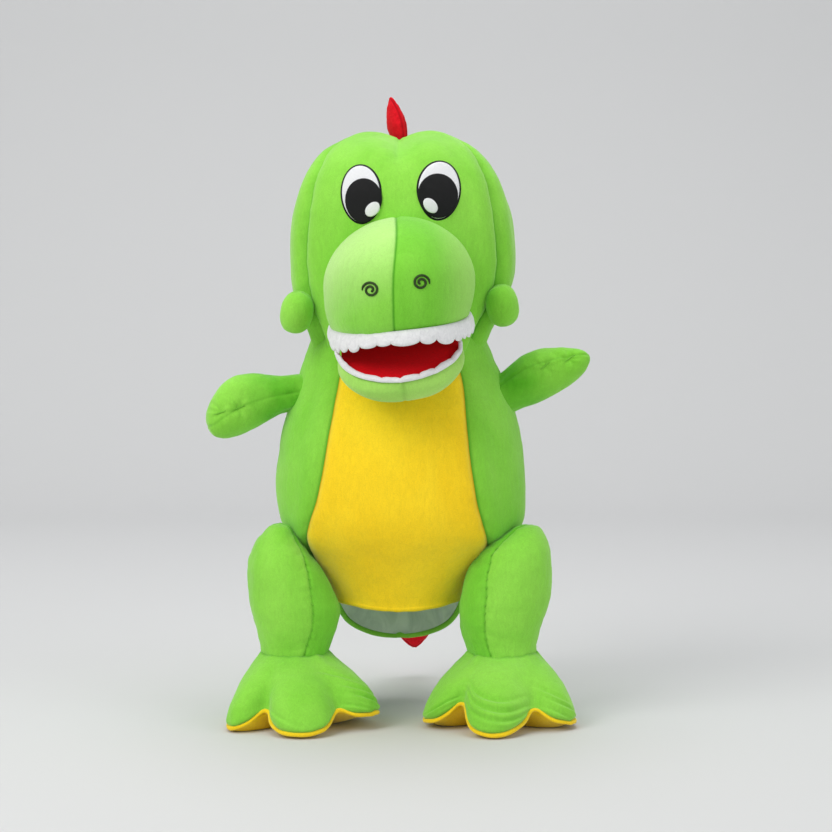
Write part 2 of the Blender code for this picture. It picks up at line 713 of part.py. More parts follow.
def build_nostrils(muzzle, body, finish):
    """A curl of thick black thread on each side of the snout."""
    for word, x, z, hand in (("left", -0.0200, -0.0035, -1), ("right", 0.0200, -0.0015, 1)):
        path, frames = [], []
        for k in range(17):
            turn = math.radians(40 + 34 * k)
            radius = 0.0012 + 0.0048 * k / 16
            px, pz = x - hand * radius * math.cos(turn), z + radius * math.sin(turn)
            inside = 1 - (px / MUZZLE_HALF_WIDTH) ** 2 - (pz / (MUZZLE_UP if pz > 0 else MUZZLE_DOWN)) ** 2
            path.append(Vector((px, -MUZZLE_REACH * math.sqrt(inside) - 0.0015, pz)))
        for k, here in enumerate(path):
            ahead = (path[min(k + 1, 16)] - path[max(k - 1, 0)]).normalized()
            side = ahead.cross(Vector((0, 1, 0))).normalized()
            rise = ahead.cross(side)
            corners = [math.pi / 4 + math.pi / 2 * c for c in range(4)]
            frames.append([tuple(here + 0.0008 * (side * math.cos(c) + rise * math.sin(c))) for c in corners])
        points, faces = filled(np.array(frames))
        piece(f"nostril_{word}", placed(points, muzzle.matrix_world), faces, finish["black"], body)


def build_ear(side, word, body, finish):
    rings = [(z, 0.0, 0.0, half, depth, depth, 0.0) for z, half, depth in EAR_RINGS]
    form = Form(rings, even_angles(10, len(rings)))
    tilt = Matrix.Rotation(side * math.radians(-14), 4, "Y") @ Matrix.Rotation(math.radians(14), 4, "X")
    place = BASE @ Matrix.Translation(Vector((side * EAR.x + HEAD_X, EAR.y, EAR.z))) @ tilt
    points, faces = filled(form.at(0.0))
    piece(f"ear_{word}", placed(points, place), faces, finish["green"], body)


def arm_names(side):
    """The arm's two panels, in the order of its columns."""
    return ("lower_panel", "upper_panel") if side > 0 else ("upper_panel", "lower_panel")


def build_limb(prefix, form, seams, names, place, body, finish):
    """Two skin panels sewn round one wad of stuffing."""
    columns = len(form.angles[0])
    a, b = seams
    for name, first, last in ((names[0], a, b), (names[1], b, a + columns)):
        points, faces = panel(form, first, last)
        piece(f"{prefix}_{name}", placed(points, place), faces, finish["green"], body)
    points, faces = filled(form.at(CORE))
    return piece(f"{prefix}_stuffing", placed(points, place), faces, finish["wadding"], body)


def build_foot(side, word, body, finish):
    grid = foot_form(side)
    points, faces = ball_points(Vector((side * HIP.x, HIP.y, ANKLE_Z)), ANKLE_R + 2 * GAP, ANKLE_R + 2 * GAP,
                                columns=20, rows=10)
    socket = cutter(f"cut_ankle_{word}", placed(points, BASE), faces, body)
    points, faces = walled(grid, drawn_in(grid, PLUSH), wrap=True)
    upper = piece(f"foot_{word}_upper", placed(points, BASE), faces, finish["green"], body)
    inner = drawn_in(grid, CORE)
    inner[0, :, 2] += GAP
    inner[-1, :, 2] -= GAP
    points, faces = filled(inner)
    stuffing = piece(f"foot_{word}_stuffing", placed(points, BASE), faces, finish["wadding"], body)
    outline = [(x, y) for x, y, _ in grid[0]]
    points, faces = extruded(outline, 0.0, SOLE)
    piece(f"foot_{word}_sole", placed(points, BASE), faces, finish["yellow"], body)
    boolean(upper, socket)
    boolean(stuffing, socket)


def build_spike(name, foot, turn, size, body, finish):
    """A flat stuffed leaf that stands on the centre seam."""
    height, length, thickness = size
    rings = [
        (height * up, 0.0, 0.0, thickness / 2 * width, length / 2 * width, length / 2 * width, 0.0)
        for up, width in SPIKE_SHAPE
    ]
    form = Form(rings, even_angles(10, len(rings)))
    points, faces = filled(form.at(0.0))
    place = Matrix.Translation(foot) @ turn
    piece(name, placed(points, place), faces, finish["red"], body)


def tail_matrix():
    """The tail's own frame: +Z runs along it, towards its tip."""
    down = Matrix.Rotation(-math.pi / 2 - TAIL_DROP, 4, "X")
    swing = Matrix.Rotation(-TAIL_SWING, 4, "Z")
    return BASE @ Matrix.Translation(TAIL_PIVOT) @ swing @ down


def build_tail(body, finish):
    rings = [(z, 0.0, -lift, half, high, high, 0.0) for z, half, high, lift in TAIL]
    form = Form(rings, even_angles(14, len(rings)))
    place = tail_matrix()
    points, faces = walled(form.at(0.0), form.at(PLUSH), wrap=True)
    piece("tail_skin", placed(points, place), faces, finish["green"], body)
    points, faces = filled(form.at(CORE))
    piece("tail_stuffing", placed(points, place), faces, finish["wadding"], body)
    ridge = place @ Matrix.Translation(Vector((0, -0.0225, 0.022))) @ Matrix.Rotation(math.radians(84), 4, "X")
    build_spike("tail_spike", Vector(), ridge, (0.024, 0.028, 0.012), body, finish)
    tip = place @ Matrix.Translation(Vector((0.003, -0.0105, 0.0708))) @ Matrix.Rotation(math.radians(-36), 4, "X")
    tip = tip @ Matrix.Rotation(math.radians(70), 4, "Z")
    build_spike("tail_tip_spike", Vector(), tip, (0.040, 0.030, 0.013), body, finish)


BASE = Matrix.Translation(Vector((0.0, AXIS_Y, 0.0)))


def main():
    clear_scene()
    finish = {
        "green": material("green_plush", GREEN),
        "pale_green": material("pale_green_plush", PALE_GREEN),
        "yellow": material("yellow_plush", YELLOW),
        "red": material("red_felt", RED),
        "white": material("white_felt", WHITE),
        "black": material("black_thread", BLACK, 0.7),
        "lining": material("satin_lining", LINING, 0.5),
        "wadding": material("wadding", WADDING, 1.0),
        "card": material("stiffener_card", CARD, 0.8),
    }
    torso = empty("torso_body", BASE)
    neck = empty("neck_body", BASE @ Matrix.Translation(NECK_PIVOT), torso)
    head = empty("head_body", BASE @ Matrix.Translation(NECK_PIVOT), neck)
    roll = Matrix.Translation(MUZZLE_CENTRE) @ Matrix.Rotation(MUZZLE_ROLL, 4, "Y")
    muzzle = empty("muzzle_mark", BASE @ roll, head)
    hinge = BASE @ roll @ Matrix.Translation(JAW_HINGE) @ Matrix.Rotation(JAW_REST, 4, "X")
    jaw = empty("jaw_body", hinge, head)

    build_torso_parts(torso, finish)
    build_neck_parts(neck, finish)
    form = build_head(head, muzzle, finish)
    build_eyes(form, head, finish)
    build_nostrils(muzzle, head, finish)
    build_jaw(jaw, finish)

    for side, word in ((-1, "left"), (1, "right")):
        build_ear(side, word, head, finish)

        shoulder = BASE @ Matrix.Translation(Vector((side * SHOULDER.x, SHOULDER.y, SHOULDER.z)))
        aim = Matrix.Rotation(side * -ARM_FORWARD, 4, "Z")
        aim = aim @ Matrix.Rotation(side * (math.pi / 2 - ARM_RISE[side]), 4, "Y")
        arm = empty(f"arm_{word}_body", shoulder, torso)
        build_limb(f"arm_{word}", arm_form(), (0, 6), arm_names(side), shoulder @ aim, arm, finish)

        hip = BASE @ Matrix.Translation(Vector((side * HIP.x, HIP.y, HIP.z)))
        leg = empty(f"leg_{word}_body", hip, torso)
        names = ("inner_panel", "outer_panel") if side < 0 else ("outer_panel", "inner_panel")
        build_limb(f"leg_{word}", leg_form(), (0, 8), names, hip, leg, finish)

        ankle = BASE @ Matrix.Translation(Vector((side * HIP.x, HIP.y, ANKLE_Z)))
        foot = empty(f"foot_{word}_body", ankle, leg)
        build_foot(side, word, foot, finish)

    tail = empty("tail_body", BASE @ Matrix.Translation(TAIL_PIVOT), torso)
    build_tail(tail, finish)
    for name, owner, foot, lean, height, length, thickness in SPIKES:
        body = head if owner == "head" else torso
        turn = Matrix.Rotation(math.radians(-lean), 4, "X")
        if name == "crest_spike":
            turn = Matrix.Rotation(math.radians(-12), 4, "Y") @ turn
        build_spike(name, BASE @ Vector(foot), turn, (height, length, thickness), body, finish)


main()
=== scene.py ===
"""The looks of the dinosaur hand puppet.

Every sewn, stuffed and embroidered piece, its materials, the light and the camera."""
import math

import bmesh
import bpy
import numpy as np
from mathutils import Matrix, Vector, noise
from mathutils.bvhtree import BVHTree


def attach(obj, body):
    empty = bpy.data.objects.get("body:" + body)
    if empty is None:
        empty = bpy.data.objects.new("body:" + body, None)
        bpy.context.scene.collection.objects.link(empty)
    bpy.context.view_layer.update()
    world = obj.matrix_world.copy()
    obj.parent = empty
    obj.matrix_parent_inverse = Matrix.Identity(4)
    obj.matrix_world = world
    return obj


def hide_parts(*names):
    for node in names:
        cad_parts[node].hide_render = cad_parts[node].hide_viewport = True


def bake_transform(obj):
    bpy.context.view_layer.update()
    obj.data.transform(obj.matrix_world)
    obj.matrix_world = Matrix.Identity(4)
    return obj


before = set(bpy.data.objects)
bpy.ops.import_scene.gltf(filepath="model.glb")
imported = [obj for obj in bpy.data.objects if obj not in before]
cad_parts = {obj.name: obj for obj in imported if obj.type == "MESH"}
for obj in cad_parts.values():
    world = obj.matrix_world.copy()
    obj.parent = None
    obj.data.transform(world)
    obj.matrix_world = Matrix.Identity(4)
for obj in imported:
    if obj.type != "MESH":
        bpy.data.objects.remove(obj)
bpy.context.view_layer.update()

TAU = 2 * math.pi
AXIS_Y = -0.0105                 # the body's axis, from the frame's origin
STITCHES = {}                    # the paths of each leg's hand stitches


# ---- Numbers along tables ----------------------------------------------------------------------
def smooth(keys, at):
    """A smooth curve through a table whose first column is the parameter."""
    keys = np.asarray(keys, float)
    x, y = keys[:, 0], keys[:, 1:]
    at = np.clip(np.asarray(at, float), x[0], x[-1])
    steps = np.diff(y, axis=0) / np.diff(x)[:, None]
    slope = np.concatenate([steps[:1], (y[2:] - y[:-2]) / (x[2:] - x[:-2])[:, None], steps[-1:]])
    k = np.clip(np.searchsorted(x, at, side="right") - 1, 0, len(x) - 2)
    h = (x[k + 1] - x[k])[..., None]
    s = (at - x[k])[..., None] / h
    a, b = 2 * s**3 - 3 * s**2 + 1, s**3 - 2 * s**2 + s
    c, d = 3 * s**2 - 2 * s**3, s**3 - s**2
    return a * y[k] + b * h * slope[k] + c * y[k + 1] + d * h * slope[k + 1]


def eased(t):
    """0 up to 1, level at both ends."""
    t = np.clip(t, 0.0, 1.0)
    return t * t * (3 - 2 * t)


def crowded(low, high, count, share=0.65):
    """Numbers from low up to high, closer together near both ends."""
    u = np.arange(count) / count
    u = (1 - share) * u + share * (0.5 - 0.5 * np.cos(math.pi * u))
    return low + (high - low) * u


def power(value, exponent):
    """A power that keeps the sign."""
    return np.sign(value) * np.abs(value) ** exponent


def rough(points, scale, seed=0.0, octaves=3):
    """Soft noise, about -1 to 1, at each point."""
    flat = np.asarray(points).reshape(-1, 3)
    found = np.empty(len(flat))
    for i, (x, y, z) in enumerate(flat):
        found[i] = noise.fractal(Vector((x * scale + seed, y * scale - seed, z * scale)), 1.0, 2.0, octaves)
    return found.reshape(np.asarray(points).shape[:-1])


def wave(values, period, seed):
    """Noise along a line, about -1 to 1."""
    flat = np.asarray(values, float).ravel() / period
    found = np.array([noise.noise(Vector((v, seed, 0.37 * seed))) for v in flat])
    return 1.6 * found.reshape(np.shape(values))


# ---- Grids of points ---------------------------------------------------------------------------
def normals(grid, wrap=True):
    """Unit normals of a grid, outward from each row's middle."""
    if wrap:
        along = np.roll(grid, -1, axis=1) - np.roll(grid, 1, axis=1)
    else:
        along = np.gradient(grid, axis=1)
    up = np.gradient(grid, axis=0)
    found = np.cross(along, up)
    size = np.linalg.norm(found, axis=2, keepdims=True)
    found /= np.maximum(size, 1e-12)
    centre = grid.mean(axis=1, keepdims=True)
    if (found * (grid - centre)).sum() < 0:
        found = -found
    return found


def across(grid, columns):
    """Distance along each row of a closed grid to the nearest of some columns."""
    step = np.linalg.norm(np.roll(grid, -1, axis=1) - grid, axis=2)
    total = step.sum(axis=1, keepdims=True)
    place = np.concatenate([np.zeros_like(total), np.cumsum(step, axis=1)[:, :-1]], axis=1)
    best = np.full(place.shape, 1e9)
    for column in columns:
        gap = np.abs(place - place[:, column:column + 1])
        best = np.minimum(best, np.minimum(gap, total - gap))
    return best


def lengthwise(grid):
    """Distance along the columns from the first row, averaged over each row."""
    step = np.linalg.norm(np.diff(grid, axis=0), axis=2).mean(axis=1)
    place = np.concatenate([[0.0], np.cumsum(step)])
    return np.repeat(place[:, None], grid.shape[1], axis=1)


def bell(distance, width):
    """1 on a line, and falling away on both sides of it."""
    return np.exp(-((distance / width) ** 2))


def groove(distance, depth, width):
    """How far a seam sinks."""
    return -depth * bell(distance, width)


def puckers(distance, place, depth, reach, period, seed):
    """Small gathers that run into a seam and fade away from it."""
    ripple = wave(place, period, seed) + 0.5 * wave(place + 0.3 * distance, period * 0.45, seed + 7)
    return depth * ripple * np.exp(-distance / reach) * (1 - bell(distance, 0.0012))


def to_row(grid):
    """From the body's axis to the frame."""
    return np.asarray(grid, float) + np.array((0.0, AXIS_Y, 0.0))


def moved(grid, matrix):
    grid = np.asarray(grid, float)
    m = np.array(matrix)
    return grid @ m[:3, :3].T + m[:3, 3]


def bake(name, points, faces, materials, picks=None, closed=True, **values):
    """A smooth mesh object with named numbers on its points."""
    mesh = bpy.data.meshes.new(name)
    mesh.from_pydata([tuple(p) for p in np.asarray(points).reshape(-1, 3)], [], [tuple(f) for f in faces])
    for material in materials:
        mesh.materials.append(material)
    if picks is not None:
        mesh.polygons.foreach_set("material_index", np.asarray(picks, np.int32))
    for key, value in values.items():
        layer = mesh.attributes.new(key, "FLOAT", "POINT")
        layer.data.foreach_set("value", np.asarray(value, np.float32).ravel())
    bm = bmesh.new()
    bm.from_mesh(mesh)
    bmesh.ops.recalc_face_normals(bm, faces=bm.faces)
    if closed and bm.calc_volume(signed=True) < 0:
        bmesh.ops.reverse_faces(bm, faces=bm.faces)
    bm.to_mesh(mesh)
    bm.free()
    mesh.shade_smooth()
    obj = bpy.data.objects.new(name, mesh)
    bpy.context.scene.collection.objects.link(obj)
    return obj


def quads(rows, columns, wrap, start=0):
    last = columns if wrap else columns - 1
    r, c = np.meshgrid(np.arange(rows - 1), np.arange(last), indexing="ij")
    n = (c + 1) % columns
    found = np.stack([r * columns + c, r * columns + n, (r + 1) * columns + n, (r + 1) * columns + c],
                     axis=-1)
    return (found.reshape(-1, 4) + start).tolist()


def hoop(rings, sides):
    """Faces of a tube whose last ring joins its first."""
    return [(r * sides + c, r * sides + (c + 1) % sides, (r + 1) % rings * sides + (c + 1) % sides,
             (r + 1) % rings * sides + c)
            for r in range(rings) for c in range(sides)]


def skin(name, grid, materials, columns_of=None, poles=(True, True), wrap=True, seam=None, **values):
    """A surface over a grid, closed by a fan at each end where poles says so.
    columns_of(row, column) picks the material of a face."""
    rows, columns, _ = grid.shape
    points = grid.reshape(-1, 3)
    faces = quads(rows, columns, wrap)
    values = {key: np.asarray(value, float).ravel() for key, value in values.items()}
    values["seam"] = np.zeros(len(points)) if seam is None else np.asarray(seam, float).ravel()
    last = columns if wrap else columns - 1
    r, c = np.meshgrid(np.arange(rows - 1), np.arange(last), indexing="ij")
    picks = (np.zeros(len(faces), int) if columns_of is None
             else np.asarray(columns_of(r.ravel(), c.ravel()), int))
    for end, row in ((0, 0), (1, rows - 1)):
        if not poles[end]:
            continue
        tip = grid[row].mean(axis=0)
        index = len(points)
        points = np.concatenate([points, tip[None]])
        for key in values:
            values[key] = np.append(values[key], values[key][row * columns:(row + 1) * columns].mean())
        for col in range(columns):
            faces.append((row * columns + col, row * columns + (col + 1) % columns, index))
        nearest = min(row, rows - 2)
        extra = (np.zeros(columns, int) if columns_of is None
                 else columns_of(np.full(columns, nearest), np.arange(columns)))
        picks = np.concatenate([picks, extra])
    return bake(name, points, faces, materials, picks, closed=all(poles) and wrap, **values)


def slab(name, outer, inner, materials, wrap=False, **values):
    """A closed thin solid between two grids, with a rim all round."""
    rows, columns, _ = outer.shape
    count = rows * columns
    faces = quads(rows, columns, wrap) + quads(rows, columns, wrap, count)
    last = columns if wrap else columns - 1
    for c in range(last):
        n = (c + 1) % columns
        top = (rows - 1) * columns
        faces.append((c, n, count + n, count + c))
        faces.append((top + c, top + n, count + top + n, count + top + c))
    if not wrap:
        for r in range(rows - 1):
            for edge in (0, columns - 1):
                a, b = r * columns + edge, (r + 1) * columns + edge
                faces.append((a, b, count + b, count + a))
    doubled = {key: np.concatenate([np.ravel(v), np.ravel(v)]) for key, v in values.items()}
    doubled.setdefault("seam", np.zeros(2 * count))
    return bake(name, np.concatenate([outer.reshape(-1, 3), inner.reshape(-1, 3)]), faces, materials,
                **doubled)


def thread(name, path, radius, material, sides=8, flat=1.0, taper=3):
    """A round thread along a path, drawn in at both ends."""
    path = np.asarray(path, float)
    ahead = np.gradient(path, axis=0)
    ahead /= np.linalg.norm(ahead, axis=1, keepdims=True)
    up = np.array((0.0, -1.0, 0.0))
    side = np.cross(ahead, up)
    side /= np.maximum(np.linalg.norm(side, axis=1, keepdims=True), 1e-9)
    rise = np.cross(side, ahead)
    turn = TAU * np.arange(sides) / sides
    size = np.full(len(path), radius)
    for k in range(taper):
        size[k] *= (0.35 + 0.65 * k / taper)
        size[-1 - k] *= (0.35 + 0.65 * k / taper)
    ring = (side[:, None] * np.cos(turn)[None, :, None] + flat * rise[:, None] * np.sin(turn)[None, :, None])
    return skin(name, path[:, None] + size[:, None, None] * ring, [material])


# ---- Materials ---------------------------------------------------------------------------------
class Tree:
    """A new material with its Principled shader, and short ways to add nodes."""

    def __init__(self, name, roughness=0.9, sheen=0.0, sheen_rough=0.4, sheen_tint=(1, 1, 1), specular=0.25):
        self.material = bpy.data.materials.new(name)
        self.material.use_nodes = True
        self.nodes = self.material.node_tree.nodes
        self.links = self.material.node_tree.links
        self.shader = self.nodes["Principled BSDF"]
        self.shader.inputs["Roughness"].default_value = roughness
        self.shader.inputs["Sheen Weight"].default_value = sheen
        self.shader.inputs["Sheen Roughness"].default_value = sheen_rough
        self.shader.inputs["Sheen Tint"].default_value = (*sheen_tint, 1.0)
        self.shader.inputs["Specular IOR Level"].default_value = specular
        self.place = self.nodes.new("ShaderNodeTexCoord").outputs["Object"]

    def put(self, socket, value):
        if isinstance(value, bpy.types.NodeSocket):
            self.links.new(value, socket)
        else:
            is_colour = isinstance(value, tuple) and len(value) == 3 and socket.type == "RGBA"
            socket.default_value = (*value, 1.0) if is_colour else value

    def stretched(self, scale, turn=(0, 0, 0)):
        node = self.nodes.new("ShaderNodeMapping")
        self.links.new(self.place, node.inputs["Vector"])
        node.inputs["Scale"].default_value = scale
        node.inputs["Rotation"].default_value = turn
        return node.outputs["Vector"]

    def noise(self, scale, detail=3.0, rough_share=0.5, distortion=0.0, vector=None):
        node = self.nodes.new("ShaderNodeTexNoise")
        self.links.new(vector or self.place, node.inputs["Vector"])
        node.inputs["Scale"].default_value = scale
        node.inputs["Detail"].default_value = detail
        node.inputs["Roughness"].default_value = rough_share
        node.inputs["Distortion"].default_value = distortion
        return node.outputs["Fac"]

    def attribute(self, name):
        node = self.nodes.new("ShaderNodeAttribute")
        node.attribute_name = name
        return node.outputs["Fac"]

    def ramp(self, value, low, high, start=0.0, end=1.0):
        node = self.nodes.new("ShaderNodeMapRange")
        self.put(node.inputs["Value"], value)
        for key, number in (("From Min", low), ("From Max", high), ("To Min", start), ("To Max", end)):
            node.inputs[key].default_value = number
        return node.outputs["Result"]

    def math(self, operation, a, b=0.0):
        node = self.nodes.new("ShaderNodeMath")
        node.operation = operation
        self.put(node.inputs[0], a)
        self.put(node.inputs[1], b)
        return node.outputs[0]

    def mix(self, share, a, b, blend="MIX"):
        node = self.nodes.new("ShaderNodeMix")
        node.data_type = "RGBA"
        node.blend_type = blend
        self.put(node.inputs["Factor"], share)
        self.put(node.inputs[6], a)
        self.put(node.inputs[7], b)
        return node.outputs[2]

    def bump(self, height, distance, strength=1.0, under=None):
        node = self.nodes.new("ShaderNodeBump")
        self.links.new(height, node.inputs["Height"])
        node.inputs["Distance"].default_value = distance
        node.inputs["Strength"].default_value = strength
        if under is not None:
            self.links.new(under, node.inputs["Normal"])
        return node.outputs["Normal"]

    def done(self, colour, normal=None):
        self.put(self.shader.inputs["Base Color"], colour)
        if normal is not None:
            self.links.new(normal, self.shader.inputs["Normal"])
        return self.material


def plush(name, deep, light, seam, tint, nap=None, sheen=0.55):
    """Short-pile velboa: brushed patches, fine fibres and a soft sheen; darker where it runs into a seam,
    which is painted shade in the seam's groove; and mixed towards a painted light or shade colour where the
    mesh carries a share for it.
    """
    t = Tree(name, roughness=0.95, sheen=sheen, sheen_rough=0.45, sheen_tint=tint, specular=0.12)
    pile_tone_and_sheen = t.noise(17.0, 3.0, 0.55, 0.6, t.stretched((1.0, 1.0, 0.55)))
    colour = t.mix(t.ramp(pile_tone_and_sheen, 0.30, 0.72), deep, light)
    # Painted light and shade: a paler sheen or a darker shade, mixed in by a share that the mesh carries.
    if nap is not None:
        colour = t.mix(t.attribute("nap"), colour, nap)
    streak = t.noise(420.0, 2.0, 0.6, 0.8, t.stretched((1.0, 1.0, 0.30), (0.2, 0.1, 0.0)))
    fibres = t.noise(1500.0, 2.0, 0.6)
    both = t.math("MULTIPLY", t.ramp(streak, 0.25, 0.75, 0.94, 1.05), t.ramp(fibres, 0.25, 0.75, 0.91, 1.08))
    grey = t.nodes.new("ShaderNodeCombineColor")
    for socket in grey.inputs[:3]:
        t.links.new(both, socket)
    colour = t.mix(1.0, colour, grey.outputs[0], "MULTIPLY")
    # Painted shade along each seam's groove.
    colour = t.mix(t.ramp(t.attribute("seam"), 0.0, 1.0, 0.0, 0.85), colour, seam)
    soft = t.bump(streak, 0.0006, 0.5)
    return t.done(colour, t.bump(fibres, 0.00035, 0.6, soft))


def felted(name, deep, light, seam, sheen=0.3, scale=900.0, depth=0.0004, tint=(1, 1, 1)):
    """Felt or brushed fleece: matted fibres without a direction."""
    t = Tree(name, roughness=0.95, sheen=sheen, sheen_tint=tint, specular=0.15)
    matted = t.noise(scale * 0.35, 4.0, 0.65, 1.2)
    colour = t.mix(t.ramp(matted, 0.3, 0.7), deep, light)
    # Painted shade along seams, in folds and at the roots of the teeth.
    colour = t.mix(t.ramp(t.attribute("seam"), 0.0, 1.0, 0.0, 0.8), colour, seam)
    fine = t.noise(scale, 3.0, 0.6, 0.5)
    return t.done(colour, t.bump(fine, depth * 0.6, 0.7, t.bump(matted, depth, 0.7)))


def embroidered(name, deep, light, angle, rough_value=0.55, pitch=1500.0):
    """Satin stitch: parallel threads with a slight gloss."""
    t = Tree(name, roughness=rough_value, sheen=0.04, specular=0.22)
    lines = t.nodes.new("ShaderNodeTexWave")
    lines.wave_type = "BANDS"
    lines.bands_direction = "X"
    t.links.new(t.stretched((1.0, 0.4, 1.0), (0.0, angle, 0.0)), lines.inputs["Vector"])
    lines.inputs["Scale"].default_value = pitch / 2.6
    lines.inputs["Distortion"].default_value = 1.4
    lines.inputs["Detail"].default_value = 1.0
    fine = t.noise(700.0, 2.0)
    share = t.math("MULTIPLY", t.ramp(lines.outputs["Fac"], 0.0, 1.0, 0.35, 1.0),
                   t.ramp(fine, 0.3, 0.7, 0.7, 1.0))
    return t.done(t.mix(share, deep, light), t.bump(lines.outputs["Fac"], 0.00025, 0.6))


def satin():
    """The sleeve's lining: thin woven cloth with a broad gloss and soft pulls."""
    t = Tree("satin_lining_cloth", roughness=0.42, sheen=0.2, specular=0.5)
    pulls = t.noise(60.0, 3.0, 0.6, 1.5, t.stretched((1.0, 1.0, 0.15)))
    colour = t.mix(t.ramp(pulls, 0.3, 0.7), (0.44, 0.54, 0.46), (0.66, 0.75, 0.66))
    weave = t.nodes.new("ShaderNodeTexWave")
    weave.inputs["Scale"].default_value = 620.0
    t.links.new(t.stretched((1.0, 1.0, 1.0), (0.0, 0.0, 0.4)), weave.inputs["Vector"])
    return t.done(colour, t.bump(weave.outputs["Fac"], 0.0001, 0.3, t.bump(pulls, 0.0016, 0.6)))


GREEN = plush("green_velboa", (0.200, 0.585, 0.040), (0.300, 0.710, 0.080), (0.050, 0.290, 0.008),
              (0.75, 1.0, 0.55))
# Lit and shaded copies of the green. The first, on the left half of the snout, gets a paler painted sheen
# where the pile catches the light. The second is painted shade, on the right half of the snout and the inner
# half of each leg, with a painted sheen along the snout's right edge.
GREEN_LIT = plush("green_velboa_lit", (0.210, 0.600, 0.048), (0.310, 0.715, 0.095),
                  (0.060, 0.320, 0.014), (0.85, 1.0, 0.65),
                  nap=(0.530, 0.820, 0.270))
GREEN_SHADED = plush("green_velboa_shaded", (0.155, 0.540, 0.028), (0.225, 0.640, 0.055),
                   (0.040, 0.250, 0.006),
                   (0.65, 1.0, 0.45), nap=(0.360, 0.710, 0.130), sheen=0.4)
# The arm's green, with a darker colour for the painted shade near each arm's root.
ARM_GREEN = plush("green_velboa_arm", (0.200, 0.585, 0.040), (0.300, 0.710, 0.080), (0.040, 0.260, 0.006),
                  (0.75, 1.0, 0.55),
                  nap=(0.085, 0.450, 0.012))
CHIN_GREEN = plush("green_velboa_chin", (0.340, 0.680, 0.110), (0.450, 0.780, 0.170), (0.090, 0.300, 0.020),
                   (0.85, 1.0, 0.6))
YELLOW = plush("yellow_velboa", (0.940, 0.620, 0.012), (0.990, 0.700, 0.022), (0.480, 0.250, 0.004),
               (1.0, 0.9, 0.5))
RED_FELT = felted("red_felt_cloth", (0.58, 0.003, 0.010), (0.80, 0.008, 0.020), (0.28, 0.0, 0.005),
                  tint=(1, 0.5, 0.5))
MOUTH_RED = felted("red_mouth_cloth", (0.62, 0.001, 0.006), (0.78, 0.003, 0.010), (0.20, 0.0, 0.003),
                   sheen=0.12, scale=1500.0,
                   depth=0.00015, tint=(1, 0.4, 0.4))
WHITE_FLEECE = felted("white_fleece", (0.72, 0.72, 0.73), (0.86, 0.86, 0.86), (0.42, 0.42, 0.43), sheen=0.5,
                      scale=700.0,
                      depth=0.0007)
WHITE_STITCH = embroidered("white_satin_stitch", (0.66, 0.67, 0.70), (0.88, 0.88, 0.89), 1.25)
BLACK_STITCH = embroidered("black_satin_stitch", (0.002, 0.002, 0.0025), (0.008, 0.008, 0.009), 1.25, 0.7)
BROWN_THREAD = embroidered("dark_thread", (0.012, 0.030, 0.006), (0.040, 0.080, 0.014), 0.6)
GREEN_THREAD = embroidered("green_thread", (0.150, 0.490, 0.028), (0.250, 0.620, 0.065), 0.3)
LINING = satin()


# ---- Ovals -------------------------------------------------------------------------------------
def oval(angles, left, right, front, back, exponent=2.1):
    """Points (x, y) of an egg-shaped ring; angle 0 is the front, and a quarter turn is the right."""
    side, ahead = np.sin(angles), np.cos(angles)
    x = power(side, 2 / exponent) * np.where(side > 0, right, left)
    y = -power(ahead, 2 / exponent) * np.where(ahead > 0, front, back)
    return x, y


def seam_angles(left_edge, right_edge, front_columns, back_columns):
    """One row of angles, with a seam at column front_columns on both sides and columns crowded near it."""
    halves = []
    for edge in (right_edge, left_edge):
        front = crowded(0.0, edge, front_columns, 0.35)
        back = crowded(edge, math.pi, back_columns, 0.45)
        halves.append(np.concatenate([front, back, [math.pi]]))
    return np.concatenate([halves[0], TAU - halves[1][1:-1][::-1]])


# ---- The body ----------------------------------------------------------------------------------
HEM_SLOPE = 0.4875
# The hem's shape in side view: place from front to back, and height over the lowest ring's.
HEM = ((-0.056, 0.0100), (-0.040, 0.0132), (-0.022, 0.0152), (-0.006, 0.0150), (0.010, 0.0086),
       (0.030, -0.0090), (0.052, -0.0250))
# Height, left and right half width, half depth, middle y, slope down to the back, and the belly's
# left and right edge in degrees.
BODY = (
    (0.0709, 0.0500, 0.0505, 0.0500, 0.0120, HEM_SLOPE, 72, 72),
    (0.0765, 0.0515, 0.0522, 0.0512, 0.0120, 0.4600, 72, 72),
    (0.0930, 0.0575, 0.0585, 0.0545, 0.0100, 0.3000, 72, 71),
    (0.1140, 0.0700, 0.0715, 0.0608, 0.0080, 0.1200, 66, 62),
    (0.1380, 0.0865, 0.0905, 0.0690, 0.0040, 0.0000, 50.5, 44.0),
    (0.1620, 0.0915, 0.0940, 0.0725, 0.0020, 0.0000, 40.6, 36.8),
    (0.1960, 0.0893, 0.0922, 0.0700, 0.0020, 0.0000, 35.8, 33.4),
    (0.2260, 0.0828, 0.0862, 0.0620, 0.0030, 0.0000, 34.8, 33.8),
    (0.2450, 0.0765, 0.0790, 0.0535, 0.0050, 0.0000, 35.0, 36.0),
    (0.2620, 0.0718, 0.0715, 0.0475, 0.0060, 0.0000, 34.5, 36.5),
    (0.2760, 0.0668, 0.0655, 0.0440, 0.0070, 0.0000, 34.5, 37),
    (0.2860, 0.0620, 0.0610, 0.0420, 0.0070, 0.0000, 34.5, 37),
)
HIPS = {"left": (-0.0765, -0.032, 0.112), "right": (0.0765, -0.032, 0.112)}
PRESS = 0.0012                   # how far the body's skin stays inside a thigh that it touches
STITCH_RADIUS = 0.00029


def hem_drop(y):
    """The hem's side view as a drop for rings that slope by HEM_SLOPE."""
    return -smooth(HEM, y)[..., 0] / HEM_SLOPE


